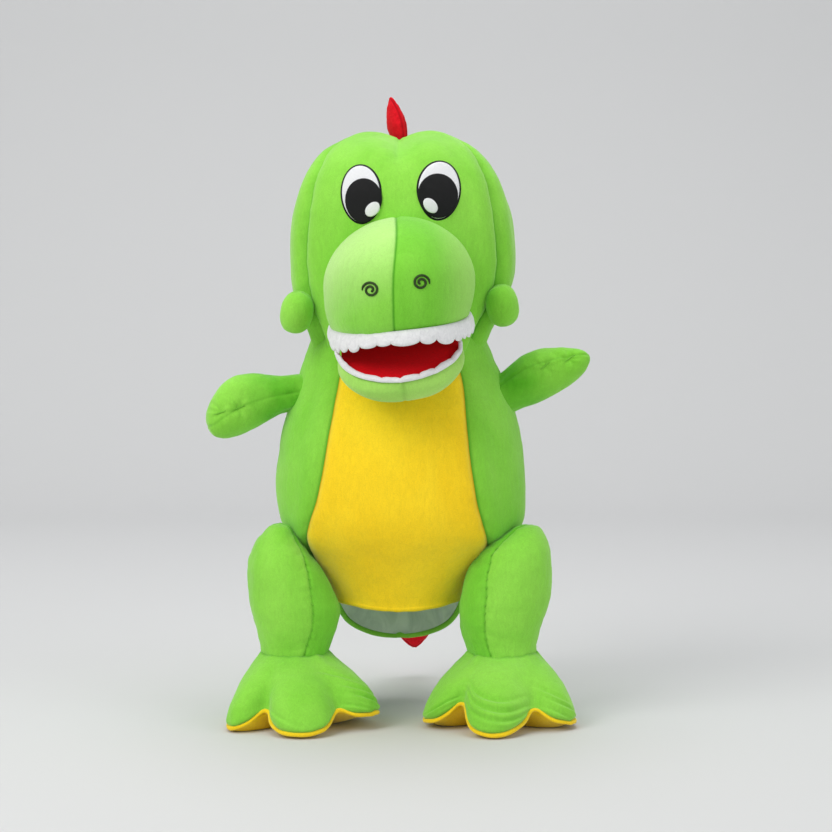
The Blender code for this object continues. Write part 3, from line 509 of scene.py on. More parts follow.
def build_body(legs):
    """The body's skin with its belly, the hem round the opening, and the sleeve's lining."""
    rows, front, back = 150, 46, 52
    height = np.linspace(BODY[0][0], BODY[-1][0], rows)
    keys = smooth(BODY, height)
    angles = np.array([seam_angles(math.radians(k[5]), math.radians(k[6]), front, back) for k in keys])
    x, y = oval(angles, keys[:, 0:1], keys[:, 1:2], keys[:, 2:3], keys[:, 2:3])
    grid = np.stack([x, y + keys[:, 3:4], height[:, None] - keys[:, 4:5] * hem_drop(y)], axis=2)
    columns = grid.shape[1]
    belly = (front, columns - front)
    spine = (front + back,)
    out = normals(grid)
    edge, middle = across(grid, belly), across(grid, spine)
    place = lengthwise(grid)
    swell = 0.0011 * rough(grid, 16.0, 3.0) + 0.0004 * rough(grid, 55.0, 9.0)
    amount = swell + groove(edge, 0.0021, 0.0030) + 0.0012 * bell(edge - 0.010, 0.008)
    amount += groove(middle, 0.0022, 0.0030)
    amount += (puckers(edge, place, 0.0005, 0.006, 0.0085, 5.0)
               + puckers(middle, place, 0.0007, 0.007, 0.009, 8.0))
    # Gathers under the head's seam, and a softer fold where the neck bends.
    top = np.clip((height - 0.252) / 0.026, 0, 1)[:, None]
    turn = np.arange(columns)[None, :] / columns
    amount += top * 0.0011 * wave(turn, 0.035, 21.0) * (0.4 + 0.6 * np.sin(math.pi * top))
    amount -= 0.0016 * bell(height[:, None] - 0.262, 0.004) * (0.5 + 0.5 * wave(turn, 0.12, 2.0))
    grid = grid + amount[..., None] * out
    # The thighs press into the sides.
    for word, leg in legs.items():
        sign = math.copysign(1.0, HIPS[word][0])
        tree = surface_of(leg)
        near = np.argwhere((grid[..., 0] * sign > 0.035) & (grid[..., 2] < 0.150) & (grid[..., 1] < 0.012))
        for r, c in near:
            x0, y0, z0 = grid[r, c]
            hit, _, _, _ = tree.ray_cast(Vector((0.0, y0 + AXIS_Y, z0)), Vector((sign, 0, 0)), abs(x0))
            if hit is not None:
                beyond, _, _, _ = tree.ray_cast(hit + Vector((sign * 0.0002, 0, 0)), Vector((sign, 0, 0)))
                if beyond is not None and abs(beyond.x) > abs(x0) and abs(x0) > abs(hit.x) + PRESS:
                    grid[r, c, 0] = hit.x + sign * PRESS
    picks = lambda r, c: np.where((c < front) | (c >= columns - front), 1, 0)
    seam = bell(edge, 0.0011) + bell(middle, 0.0011)
    body = skin("body_skin", to_row(grid), [GREEN, YELLOW], picks, poles=(False, True),
                seam=np.clip(seam, 0, 1))
    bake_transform(body)
    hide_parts("belly_panel", "body_side_left", "body_side_right", "torso_wadding")

    # The hem: the skin turned in round a soft cord at the opening, yellow over the belly and green
    # round the back.
    first = grid[0]
    inward = -out[0] * np.array((1.0, 1.0, 0.0))
    inward /= np.linalg.norm(inward, axis=1, keepdims=True)
    around = TAU * np.arange(18) / 18
    plump = 0.0020 + 0.0002 * wave(np.arange(columns) * 1.0, 6.0, 4.0)
    ring = first + inward * 0.0017 + np.array((0, 0, -0.0002))
    tube = ring[:, None] + plump[:, None, None] * (
        -inward[:, None] * np.cos(around)[None, :, None]
        + np.array((0, 0, -1.25)) * np.sin(around)[None, :, None])
    faces = hoop(columns, 18)
    picks = [1 if r < front or r >= columns - front else 0 for r in range(columns) for _ in range(18)]
    around_seam = np.repeat(bell(across(grid, belly)[0], 0.0012), 18)
    hem = bake("hem_rim", to_row(tube), faces, [GREEN, YELLOW], picks, seam=around_seam)
    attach(hem, "torso")
    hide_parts("hem_band")

    # The lining: a satin sleeve from the hem up to the closed pocket for the fingers.
    rise = 90
    level = np.linspace(0.0, 1.0, rise)
    sleeve = (
        (0.0, 0.0712, 0.0466, 0.0462, 0.0120, HEM_SLOPE), (0.10, 0.0800, 0.0415, 0.0395, 0.0120, 0.42),
        (0.30, 0.1140, 0.0380, 0.0350, 0.0080, 0.12), (0.55, 0.1650, 0.0385, 0.0360, 0.0020, 0.00),
        (0.80, 0.2250, 0.0385, 0.0360, 0.0030, 0.00), (0.92, 0.2560, 0.0380, 0.0330, 0.0060, 0.00),
        (1.0, 0.2720, 0.0300, 0.0200, 0.0060, 0.00),
    )
    s = smooth(sleeve, level)
    turn = TAU * np.arange(120) / 120
    x, y = oval(turn[None, :], s[:, 1:2], s[:, 1:2], s[:, 2:3], s[:, 2:3], 2.0)
    tube = np.stack([x, y + s[:, 3:4], s[:, 0:1] - s[:, 4:5] * hem_drop(y * 1.06)], axis=2)
    folds = (0.0005 * wave(turn[None, :] * 12 + 2.0 * level[:, None], 2.6, 31.0)
             + 0.0008 * rough(tube, 45.0, 12.0))
    folds *= eased(level / 0.08)[:, None]
    tube = tube - np.abs(folds)[..., None] * normals(tube)
    lining = skin("sleeve_satin", to_row(tube), [LINING], poles=(False, True))
    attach(lining, "torso")
    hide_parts("sleeve_lining", "finger_pocket_lining")
    return grid


# ---- The head ----------------------------------------------------------------------------------
# Share of the rise, height, left and right half width, front, back, middle y, face edge in degrees.
HEAD = (
    (0.000, 0.2640, 0.0610, 0.0600, 0.0450, 0.0450, 0.0075, 57),
    (0.060, 0.2720, 0.0635, 0.0625, 0.0490, 0.0490, 0.0080, 57),
    (0.130, 0.2840, 0.0670, 0.0680, 0.0555, 0.0560, 0.0080, 57),
    (0.220, 0.3020, 0.0755, 0.0775, 0.0620, 0.0640, 0.0080, 57),
    (0.320, 0.3220, 0.0805, 0.0850, 0.0670, 0.0690, 0.0080, 57),
    (0.440, 0.3450, 0.0812, 0.0868, 0.0700, 0.0720, 0.0080, 57),
    (0.560, 0.3670, 0.0790, 0.0840, 0.0710, 0.0720, 0.0080, 57),
    (0.670, 0.3870, 0.0735, 0.0778, 0.0690, 0.0700, 0.0088, 59),
    (0.770, 0.4040, 0.0652, 0.0685, 0.0625, 0.0640, 0.0100, 62),
    (0.850, 0.4160, 0.0540, 0.0565, 0.0530, 0.0540, 0.0118, 70),
    (0.910, 0.4235, 0.0405, 0.0425, 0.0400, 0.0420, 0.0135, 79),
    (0.965, 0.4278, 0.0225, 0.0240, 0.0220, 0.0240, 0.0148, 86),
    (1.000, 0.4290, 0.0020, 0.0020, 0.0020, 0.0020, 0.0150, 90),
)


def build_head():
    """The cranium: one face panel in front, a side panel behind it on each side."""
    rows, front, back = 150, 56, 48
    level = np.linspace(0.0, 1.0, rows)
    keys = smooth(HEAD, level)
    angles = np.array([seam_angles(math.radians(k[6]), math.radians(k[6]), front, back) for k in keys])
    x, y = oval(angles, keys[:, 1:2], keys[:, 2:3], keys[:, 3:4], keys[:, 4:5], 2.15)
    grid = np.stack([x, y + keys[:, 5:6], np.repeat(keys[:, 0:1], x.shape[1], axis=1)], axis=2)
    columns = grid.shape[1]
    # Two low lobes over the eyes, with a dip between them.
    dome = eased((grid[..., 2] - 0.392) / 0.030)
    lobes = bell(grid[..., 0] + 0.028, 0.017) + bell(grid[..., 0] - 0.031, 0.017)
    dip = bell(grid[..., 0] - 0.001, 0.010)
    grid[..., 2] += dome * (0.0024 * lobes - 0.0046 * dip)
    face = (front, columns - front)
    crown = (0, front + back)
    out = normals(grid)
    edge, middle = across(grid, face), across(grid, crown)
    place = lengthwise(grid)
    behind = (np.abs(np.arange(columns) - (front + back)) < back)[None, :]
    low = 1 - eased((grid[..., 2] - 0.285) / 0.03)
    amount = 0.0011 * rough(grid, 17.0, 40.0) + 0.0003 * rough(grid, 60.0, 44.0)
    amount += groove(edge, 0.0040, 0.0036) + 0.0024 * bell(edge - 0.013, 0.010)
    amount += np.where(behind, groove(middle, 0.0024, 0.0030)
                       + puckers(middle, place, 0.0007, 0.007, 0.009, 51.0), 0.0)
    amount += puckers(edge, place, 0.0008, 0.007, 0.010, 47.0)
    # The seam down the forehead shows only as a faint line.
    brow = eased((grid[..., 2] - 0.405) / 0.012)
    amount += np.where(behind, 0.0, groove(middle, 0.0012, 0.0022) * brow)
    turn = (np.arange(columns) / columns)[None, :]
    amount += low * 0.0013 * wave(turn, 0.030, 61.0)
    grid = grid + amount[..., None] * out
    seam = bell(edge, 0.0013) + np.where(behind, bell(middle, 0.0012), 0.0)
    head = skin("head_skin", to_row(grid), [GREEN], poles=(False, True), seam=np.clip(seam, 0, 1))
    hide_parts("face_panel", "head_side_left", "head_side_right", "neck_collar", "head_stuffing")
    return head


def surface_of(obj):
    """A tree of a piece's faces, for rays."""
    mesh = obj.data
    points = [tuple(v.co) for v in mesh.vertices]
    return BVHTree.FromPolygons(points, [tuple(p.vertices) for p in mesh.polygons])


def onto(tree, x, z, lift=0.0, back=0.0):
    """The first point that a level line from the front meets, lifted off it."""
    place, normal, _, _ = tree.ray_cast(Vector((x, -0.40, z)), Vector((0, 1, 0)))
    if place is None:
        raise ValueError(f"nothing lies behind {x:.4f}, {z:.4f}")
    if normal.y > 0:
        normal = -normal
    return np.array(place + normal * lift + Vector((0, back, 0)))


# ---- The snout and the mouth -------------------------------------------------------------------
SNOUT = Vector((0.0010, -0.062, 0.318))
ROLL = math.radians(-6.0)
SNOUT_A, SNOUT_B, SNOUT_UP, SNOUT_DOWN = 0.0545, 0.0740, 0.0490, 0.0750
SNOUT_REACH = 0.0320              # how far the snout's sides run back from its widest section
LIP = 0.0330                     # the lip's plane below the snout's middle
HINGE = Vector((-0.0045, 0.010, -0.034))
GAPE = math.radians(26.0)
JAW_CORNER = 1.85                # exponent of the oval that the lower lip follows
JAW_MIDDLE = -0.0300             # its middle, ahead of the hinge
TEETH_OUT = 0.0006               # how far the upper teeth stand outside the lip
SNOUT_PLACE = Matrix.Translation(SNOUT + Vector((0, AXIS_Y, 0))) @ Matrix.Rotation(ROLL, 4, "Y")
JAW_PLACE = SNOUT_PLACE @ Matrix.Translation(HINGE) @ Matrix.Rotation(GAPE, 4, "X")


def smiled(grid):
    """The lip turns up towards the corners of the mouth, and the muzzle leans a little to the left below."""
    grid = np.array(grid, float)
    back = np.clip(1 + grid[..., 1] / 0.066, 0, 1.25)
    low = eased((0.006 - grid[..., 2]) / 0.040)
    corner = 0.0074 - 0.0014 * np.clip(grid[..., 0] / 0.04, -1, 1)
    grid[..., 2] += corner * back**1.6 * low
    grid[..., 0] -= 0.0024 * low
    return grid


def pile_tone_and_sheen(grid, side):
    """How much painted sheen the pile gets: over most of the left half, more towards the top and the left,
    and along the right half's outer edge.
    """
    if side < 0:
        return np.clip(0.26 + 15.0 * grid[..., 2] - 6.0 * (grid[..., 0] + 0.028), 0, 0.64)
    return 0.85 * eased((grid[..., 0] - 0.020) / 0.032)


def build_snout():
    """The muzzle's dome, cut off at the lip, with its left half in the lit copy of the green and its right
    half in the shaded copy, both with painted sheen.
    """
    rows, columns = 121, 96
    share = np.linspace(0.004, 0.996, rows)
    x = -SNOUT_A * np.cos(math.pi * share)
    girth = np.sqrt(1 - (x / SNOUT_A) ** 2)
    lowest = -np.arcsin(np.clip(LIP / (SNOUT_DOWN * np.maximum(girth, 1e-6)), 0, 1))
    turn = np.linspace(0.0, 1.0, columns)[None, :]
    angle = lowest[:, None] + (math.pi * 0.92 - lowest[:, None]) * turn
    up = np.sin(angle)
    y = -SNOUT_B * girth[:, None] * np.sign(np.cos(angle)) * np.abs(np.cos(angle)) ** 0.96
    z = np.where(up > 0, SNOUT_UP, SNOUT_DOWN) * girth[:, None] * up
    grid = np.stack([np.repeat(x[:, None], columns, axis=1), y, z], axis=2)
    out = normals(grid, wrap=False)
    if out[rows // 2, columns // 2].dot(np.array((0, -1.0, 0.2))) < 0:
        out = -out
    middle = np.abs(grid[..., 0])
    steps = np.linalg.norm(np.diff(grid[rows // 2], axis=0), axis=1)
    place = np.cumsum(np.concatenate([[0], steps]))[None, :]
    steps = np.linalg.norm(np.diff(grid, axis=1), axis=2)
    lip_gap = np.cumsum(np.concatenate([np.zeros((rows, 1)), steps], axis=1), axis=1)
    amount = groove(middle, 0.0009, 0.0014) + 0.0006 * rough(grid, 22.0, 80.0)
    amount += puckers(middle, place, 0.0004, 0.005, 0.008, 83.0)
    amount += groove(lip_gap, 0.0020, 0.0040)
    amount += puckers(lip_gap, x[:, None], 0.0004, 0.006, 0.007, 86.0)
    grid = grid + amount[..., None] * out
    # The seam down the middle bows to the left over the nose.
    near = bell(grid[..., 0], 0.026)
    grid[..., 0] += near * (0.0024 - 0.0066 * eased((0.044 - grid[..., 2]) / 0.050))
    # The lip turns in under the edge.
    under = []
    for inset, rise in ((0.0030, 0.0035), (0.0012, 0.0010)):
        ring = grid[:, 0].copy()
        ring[:, 0] *= 1 - inset / 0.05
        ring[:, 1] += inset
        ring[:, 2] += rise
        under.append(ring)
    grid = np.concatenate([under[0][:, None], under[1][:, None], grid], axis=1)
    columns += 2
    half = rows // 2
    # Painted sheen: on the left half paler towards the top, on the right half along its outer edge.
    nap = pile_tone_and_sheen(grid, -1)
    nap[half:] = pile_tone_and_sheen(grid[half:], 1)
    seam = bell(np.linalg.norm(grid - grid[half:half + 1], axis=2), 0.0008)
    picks = lambda r, c: np.where(r < half, 0, 1)
    snout = skin("snout_skin", moved(smiled(grid), SNOUT_PLACE), [GREEN_LIT, GREEN_SHADED], picks,
                 poles=(False, False), wrap=False, seam=seam, nap=nap)
    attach(snout, "head")
    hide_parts("snout_left", "snout_right")
    build_snout_sides()
    return snout


def build_snout_sides():
    """Behind its widest section the snout's sides run straight back into the face."""
    y = np.linspace(-0.0040, SNOUT_REACH, 30)[:, None]
    lowest = -LIP - 0.0125 * eased((y - HINGE.y + 0.004) / 0.007)
    z = lowest + (0.45 * SNOUT_UP - lowest) * np.linspace(0, 1, 44)[None, :]
    tube = np.sqrt(1 - (z / np.where(z > 0, SNOUT_UP, SNOUT_DOWN)) ** 2)
    dome = np.sqrt(np.maximum(tube**2 - (y / SNOUT_B) ** 2, 0.02))
    share = dome + (tube - dome) * (1 - eased(z / (0.40 * SNOUT_UP)))
    # The left side in the lit copy of the green and the right side in the shaded copy, with the same painted
    # sheen.
    for side, word, look in ((-1, "left", GREEN_LIT), (1, "right", GREEN_SHADED)):
        grid = np.stack([side * SNOUT_A * 0.996 * share, np.broadcast_to(y, share.shape), z], axis=2)
        nap = pile_tone_and_sheen(grid, side)
        if side > 0:
            grid, nap = grid[:, ::-1], nap[:, ::-1]
        cheek = skin(f"snout_side_{word}", moved(smiled(grid), SNOUT_PLACE), [look], poles=(False, False),
                     wrap=False, nap=nap)
        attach(cheek, "head")


def lip_curve(turn, grow):
    """A point of the upper lip's oval, in the snout's own frame: turn 0 is the left end, pi the right end."""
    girth = math.sqrt(1 - (LIP / SNOUT_DOWN) ** 2)
    return -(SNOUT_A * girth + grow) * np.cos(turn), -(SNOUT_B * girth + grow) * np.sin(turn)


def scallops(place, edges, depths, sharp=0.55):
    """How far each lobe of a cut edge hangs down at a place along it; edges are where the lobes meet."""
    k = np.clip(np.searchsorted(edges, place, side="right") - 1, 0, len(depths) - 1)
    width = edges[k + 1] - edges[k]
    t = np.clip((place - edges[k]) / width, 0, 1)
    return depths[k] * (4 * t * (1 - t)) ** sharp


def build_teeth(name, curve, turns, edges, depths, base, root, hang, flare, place, thick=0.0021, seed=1.0):
    """A fleece strip sewn along a lip, scalloped along its free edge."""
    count, deep = 420, 9
    turn = np.linspace(turns[0], turns[1], count)
    share = np.linspace(0.0, 1.0, count)
    extent = base(share) + scallops(share, edges, depths)
    x, y = curve(turn)
    tangent = np.gradient(np.stack([x, y], axis=1), axis=0)
    tangent /= np.linalg.norm(tangent, axis=1, keepdims=True)
    outward = np.stack([tangent[:, 1], -tangent[:, 0]], axis=1)
    if (outward[count // 2] * np.array((0, -1))).sum() < 0:
        outward = -outward
    down = np.linspace(0.0, 1.0, deep)[:, None]
    lean = flare(share)[None, :] * down**1.3 + 0.0007 * wave(share * 40, 1.6, seed)[None, :] * down
    rootline = root(share)[None, :]
    z = rootline + hang * extent[None, :] * down
    puff = 0.0006 * np.sin(math.pi * down)
    layers = []
    for off in (thick / 2, -thick / 2):
        soft = off * np.sqrt(np.clip(1 - (2 * down - 1) ** 6, 0.06, 1))
        reach = lean + puff + soft
        layers.append(np.stack([x[None, :] + outward[None, :, 0] * reach,
                                y[None, :] + outward[None, :, 1] * reach, z], axis=2))
    for grid, off in zip(layers, (1, -1)):
        grid += (off * 0.00018 * rough(grid, 420.0, seed * 3, 2))[..., None] * np.array((0, -1.0, 0))
    # Painted shade along the strip's root, where it meets the lip.
    seam = np.repeat(bell(down, 0.10), count, axis=1) * 0.5
    if hang < 0:
        layers = [smiled(grid) for grid in layers]
    obj = slab(name, moved(layers[0], place), moved(layers[1], place), [WHITE_FLEECE], seam=seam)
    return obj, extent, float(np.linalg.norm(np.diff(np.stack([x, y], 1), axis=0), axis=1).sum())


def build_mouth():
    """The teeth, the red lining folded at the hinge, and the lower jaw."""
    # Upper strip.
    widths = np.array([0.9, 1.0, 1.0, 0.9, 1.3, 1.5, 1.1, 2.2, 1.4, 1.7, 1.0, 0.7, 0.8, 0.8, 0.7])
    edges = np.concatenate([[0.0], np.cumsum(widths) / widths.sum()])
    depths = np.array([3.0, 4.4, 4.8, 4.2, 4.6, 2.4, 1.8, 3.0, 3.4, 4.8, 3.4, 3.0, 3.6, 3.4, 2.6]) / 1000
    top_base = lambda s: 0.0080 + 0.0030 * bell(s - 0.10, 0.12) + 0.0022 * bell(s - 0.84, 0.12)
    top_flare = lambda s: 0.0010 + 0.0010 * bell(s, 0.07) + 0.0014 * bell(1 - s, 0.07)
    top_root = lambda s: -LIP + 0.0028 + 0.0020 * bell(1 - s, 0.05) + 0.0008 * bell(s, 0.05)
    lip_out = lambda turn: lip_curve(turn, TEETH_OUT)
    upper, extent, length = build_teeth("upper_teeth_fleece", lip_out, (0.04, math.pi - 0.04), edges, depths,
                                        top_base,
                                        top_root, -1.0, top_flare, SNOUT_PLACE, seed=4.0)
    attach(upper, "head")
    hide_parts("upper_teeth")

    # The lower jaw, a stuffed bun with a seam down the chin.
    jaw_rings = (
        (0.00, -0.0006, -0.0300, 0.0420, 0.0405, 0.0300),
        (0.10, -0.0034, -0.0300, 0.0446, 0.0418, 0.0400),
        (0.30, -0.0090, -0.0305, 0.0444, 0.0412, 0.0450),
        (0.52, -0.0150, -0.0325, 0.0395, 0.0365, 0.0420),
        (0.74, -0.0210, -0.0355, 0.0295, 0.0275, 0.0330),
        (0.90, -0.0244, -0.0375, 0.0160, 0.0150, 0.0115),
        (1.00, -0.0252, -0.0380, 0.0020, 0.0020, 0.0016),
    )
    rows, columns = 70, 128
    level = np.linspace(0, 1, rows)
    keys = smooth(jaw_rings, level)
    turn = TAU * np.arange(columns) / columns
    roundness = JAW_CORNER + 0.40 * eased(level / 0.30)[:, None]
    x, y = oval(turn[None, :], keys[:, 2:3], keys[:, 2:3], keys[:, 3:4], keys[:, 4:5], roundness)
    grid = np.stack([x, y + keys[:, 1:2], np.repeat(keys[:, 0:1], columns, axis=1)], axis=2)
    out = normals(grid)
    chin = across(grid, (0,))
    rim = lengthwise(grid)
    amount = groove(chin, 0.0006, 0.0011) + 0.0006 * rough(grid, 30.0, 91.0)
    amount += puckers(chin, rim, 0.0003, 0.004, 0.006, 92.0)
    amount += puckers(rim, turn[None, :] * 0.04, 0.0005, 0.005, 0.007, 93.0)
    grid = grid + amount[..., None] * out
    # Painted shade along the chin's seam and round the rim under the teeth and lining.
    seam = 0.35 * bell(chin, 0.0006) + bell(rim, 0.0018)
    jaw = skin("jaw_bun", moved(grid, JAW_PLACE), [CHIN_GREEN], seam=np.clip(seam, 0, 1))
    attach(jaw, "jaw")
    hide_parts("jaw_skin_left", "jaw_skin_right", "jaw_stuffing")

    # Lower strip.
    widths = np.array([1.0, 0.8, 1.1, 1.2, 1.3, 1.4, 1.5, 1.2, 1.7, 1.3, 1.1])
    edges = np.concatenate([[0.0], np.cumsum(widths) / widths.sum()])
    depths = np.array([2.0, 1.2, 1.0, 1.0, 1.0, 0.9, 1.6, 1.8, 2.0, 1.5, 1.0]) / 1000
    low_base = lambda s: 0.0030 + 0.0064 * bell(s, 0.16) + 0.0034 * bell(1 - s, 0.05)
    low_flare = lambda s: -0.0004 + 0.0030 * bell(s, 0.10)
    low_root = lambda s: -0.0010 - 0.0008 * bell(s, 0.12)
    jaw_out = lambda turn: (-0.0428 * power(np.cos(turn), 2 / JAW_CORNER),
                            JAW_MIDDLE - 0.0413 * power(np.sin(turn), 2 / JAW_CORNER))
    lower, extent, length = build_teeth("lower_teeth_fleece", jaw_out, (-0.10, math.pi + 0.02), edges, depths,
                                        low_base,
                                        low_root, 1.0, low_flare, JAW_PLACE, thick=0.0026, seed=14.0)
    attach(lower, "jaw")
    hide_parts("lower_teeth")

    # The lining: from the upper lip back to the fold, and forward again to the lower lip.
    rows, columns = 110, 61
    girth = math.sqrt(1 - (LIP / SNOUT_DOWN) ** 2)
    spread = np.linspace(-1, 1, columns)
    sheet = []
    for k in range(rows):
        s = 1 - 2 * k / (rows - 1)                  # 1 at the upper lip, 0 at the fold, -1 at the lower lip
        if s >= 0:
            far = SNOUT_B * girth - 0.0044
            y = HINGE.y - (HINGE.y + far) * math.sin(s * math.pi / 2)
            half = (SNOUT_A * girth - 0.0038) * math.sqrt(max(0.0, 1 - (max(0.0, -y) / far) ** 2))
            z = -LIP - 0.0008 + 0.0045 * math.sin(math.pi * s) * (1 - spread**2) - 0.0004 * (1 - s)
            row = np.stack([half * spread, np.full(columns, y), z], axis=1)
            fold_share = eased(s / 0.25)
            row = moved(row + fold_share * (smiled(row) - row) + (1 - fold_share) * np.array((HINGE.x, 0, 0)),
                        SNOUT_PLACE)
        else:
            s = -s
            far = 0.0405 - 0.0016
            y = (JAW_MIDDLE - far) * math.sin(s * math.pi / 2)
            ahead = JAW_MIDDLE - y
            half = 0.0418 * max(0.0, 1 - (max(0.0, ahead) / far) ** JAW_CORNER) ** (1 / JAW_CORNER)
            z = 0.0001 + 0.0022 * math.sin(math.pi * s) * (1 - spread**2)
            row = np.stack([half * spread, np.full(columns, y), z], axis=1)
            row = moved(row, JAW_PLACE)
        sheet.append(row)
    grid = np.array(sheet)
    grid += (0.0004 * rough(grid, 60.0, 95.0))[..., None] * np.array((0, 0, 1.0))
    # Painted shade in the fold at the back of the mouth.
    fold = np.repeat(bell(np.linspace(1, -1, rows)[:, None], 0.05), columns, axis=1)
    lining = skin("mouth_cloth", grid, [MOUTH_RED], poles=(False, False), wrap=False, seam=fold)
    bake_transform(lining)
    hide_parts("palate_lining", "jaw_lining", "palate_board", "jaw_board")
    return jaw


# ---- Embroidery --------------------------------------------------------------------------------
EYE_LINE = 0.0015                # width of the dark line round the white


def egg(turn, across_half, up, down, lean, flat_side=0.0):
    """An egg's outline round its middle; flat_side cuts off its lower inner side."""
    x = across_half * np.sin(turn)
    z = np.where(np.cos(turn) > 0, up, down) * np.cos(turn)
    if flat_side:
        inner = bell(((turn - flat_side + math.pi) % TAU) - math.pi, 0.75)
        x, z = x * (1 - 0.13 * inner), z * (1 - 0.13 * inner)
    return x * math.cos(lean) - z * math.sin(lean), x * math.sin(lean) + z * math.cos(lean)


def patch(name, tree, centre, outline, lift, material, node, rings=9, edge=0.0007):
    """A raised embroidered patch that lies on the face, with a rounded edge."""
    columns = 72
    turn = TAU * np.arange(columns) / columns
    ox, oz = outline(turn)
    levels = ([(1.0, -0.0010)] + [(1.0 - 0.02 * k, lift - edge + edge * math.sin(k / 3 * math.pi / 2))
                                  for k in range(4)])
    levels += [(0.94 * (1 - (k / (rings - 1)) ** 1.1) + 0.01, lift + 0.0003 * (k / (rings - 1)))
               for k in range(1, rings)]
    grid = []
    for size, up in levels:
        grid.append([onto(tree, centre[0] + size * a, centre[1] + size * b, up) for a, b in zip(ox, oz)])
    obj = skin(name, np.array(grid), [material], poles=(False, True))
    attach(obj, "head")
    if node:
        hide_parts(node)
    return obj


def build_eyes(head):
    """Four embroidered patches for each eye: the line round it, the white, the pupil and the glint."""
    tree = surface_of(head)
    eyes = (
        ("left", (-0.0262, 0.3832), math.radians(6), 1, (0.0138, 0.0205, 0.0205), (0.0020, -0.0048),
         (0.0134, 0.0160),
         (0.0080, -0.0110), 0.75),
        ("right", (0.0284, 0.3858), math.radians(-8), -1, (0.0150, 0.0208, 0.0205), (-0.0008, -0.0040),
         (0.0146, 0.0160),
         (-0.0058, -0.0112), -0.75),
    )
    for word, centre, lean, inward, size, black_at, black, glint_at, glint_lean in eyes:
        lower_inner = math.pi - inward * 0.85
        white = lambda turn, s=size, l=lean, f=lower_inner: egg(turn, s[0], s[1], s[2], l, f)
        line = lambda turn, s=size, l=lean, f=lower_inner: egg(turn, *(half + EYE_LINE for half in s), l, f)
        patch(f"sewn_eye_line_{word}", tree, centre, line, 0.0007, BLACK_STITCH, None,
              rings=4)
        patch(f"sewn_eye_white_{word}", tree, centre, white, 0.0014, WHITE_STITCH, f"eye_white_{word}")
        pupil = lambda turn, b=black, l=lean, f=lower_inner: egg(turn, b[0], b[1], b[1], l, f)
        at = (centre[0] + black_at[0], centre[1] + black_at[1])
        patch(f"sewn_eye_pupil_{word}", tree, at, pupil, 0.0021, BLACK_STITCH, f"eye_pupil_{word}")
        glint = lambda turn, l=glint_lean: egg(turn, 0.0042, 0.0062, 0.0058, -l)
        at = (centre[0] + glint_at[0], centre[1] + glint_at[1])
        patch(f"sewn_eye_glint_{word}", tree, at, glint, 0.0027, WHITE_STITCH, f"eye_glint_{word}",
              rings=5)


def build_nostrils(snout):
    """A curl of dark thread on each side of the nose."""
    tree = surface_of(snout)
    curls = (("left", -0.0183, 0.3156, -1, -1.3), ("right", 0.0160, 0.3206, 1, -1.2))
    for word, x0, z0, hand, start in curls:
        path = []
        for k in range(64):
            s = k / 63
            turn = start + s * 1.72 * TAU
            radius = 0.0009 + 0.0046 * s**0.92
            x = x0 - hand * radius * math.cos(turn) * 1.05
            z = z0 + radius * math.sin(turn)
            path.append(onto(tree, x, z, 0.0005))
        curl = thread(f"nostril_curl_{word}", path, 0.00088, BROWN_THREAD, flat=0.7)
        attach(curl, "head")
        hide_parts(f"nostril_{word}")


# ---- Stuffed limbs -----------------------------------------------------------------------------
def limb_grid(keys, rows, columns, exponent=2.0, twist=0.0):
    """Rings along +Z from a table: place, half x, half y, middle x, middle y.
    The columns may run round by a twist."""
    place = crowded(keys[0][0], keys[-1][0], rows, 0.5)
    place = np.append(place[:-1], keys[-1][0])
    k = smooth(keys, place)
    turned = np.broadcast_to(twist(place) if callable(twist) else twist, place.shape)
    turn = TAU * np.arange(columns) / columns + turned[:, None]
    x, y = oval(turn, k[:, 0:1], k[:, 0:1], k[:, 1:2], k[:, 1:2], exponent)
    return np.stack([x + k[:, 2:3], y + k[:, 3:4], np.repeat(place[:, None], columns, axis=1)], axis=2)


def build_ear(side, word):
    """A round nub on the cheek."""
    keys = ((-0.0158, 0.0010, 0.0010, 0, 0), (-0.0140, 0.0062, 0.0066, 0, 0), (-0.0090, 0.0104, 0.0112, 0, 0),
            (0.0, 0.0122, 0.0136, 0, 0), (0.0090, 0.0108, 0.0118, 0, 0), (0.0140, 0.0066, 0.0072, 0, 0),
            (0.0160, 0.0010, 0.0010, 0, 0))
    grid = limb_grid(keys, 48, 72)
    out = normals(grid)
    edge = across(grid, (18, 54))
    amount = groove(edge, 0.0007, 0.0016) + 0.0005 * rough(grid, 70.0, 100 + side)
    grid = grid + amount[..., None] * out
    tilt = Matrix.Rotation(side * math.radians(-12), 4, "Y") @ Matrix.Rotation(math.radians(10), 4, "X")
    centre = (Vector((-0.0740, -0.0335 + AXIS_Y, 0.2985)) if side < 0
              else Vector((0.0752, -0.0335 + AXIS_Y, 0.3035)))
    ear = skin(f"ear_pad_{word}", moved(grid, Matrix.Translation(centre) @ tilt), [GREEN],
               seam=0.6 * bell(edge, 0.0009))
    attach(ear, "head")
    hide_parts(f"ear_{word}")


# How far each arm points up, by its side.
RISE = {-1: math.radians(-18.0), 1: math.radians(25.0)}


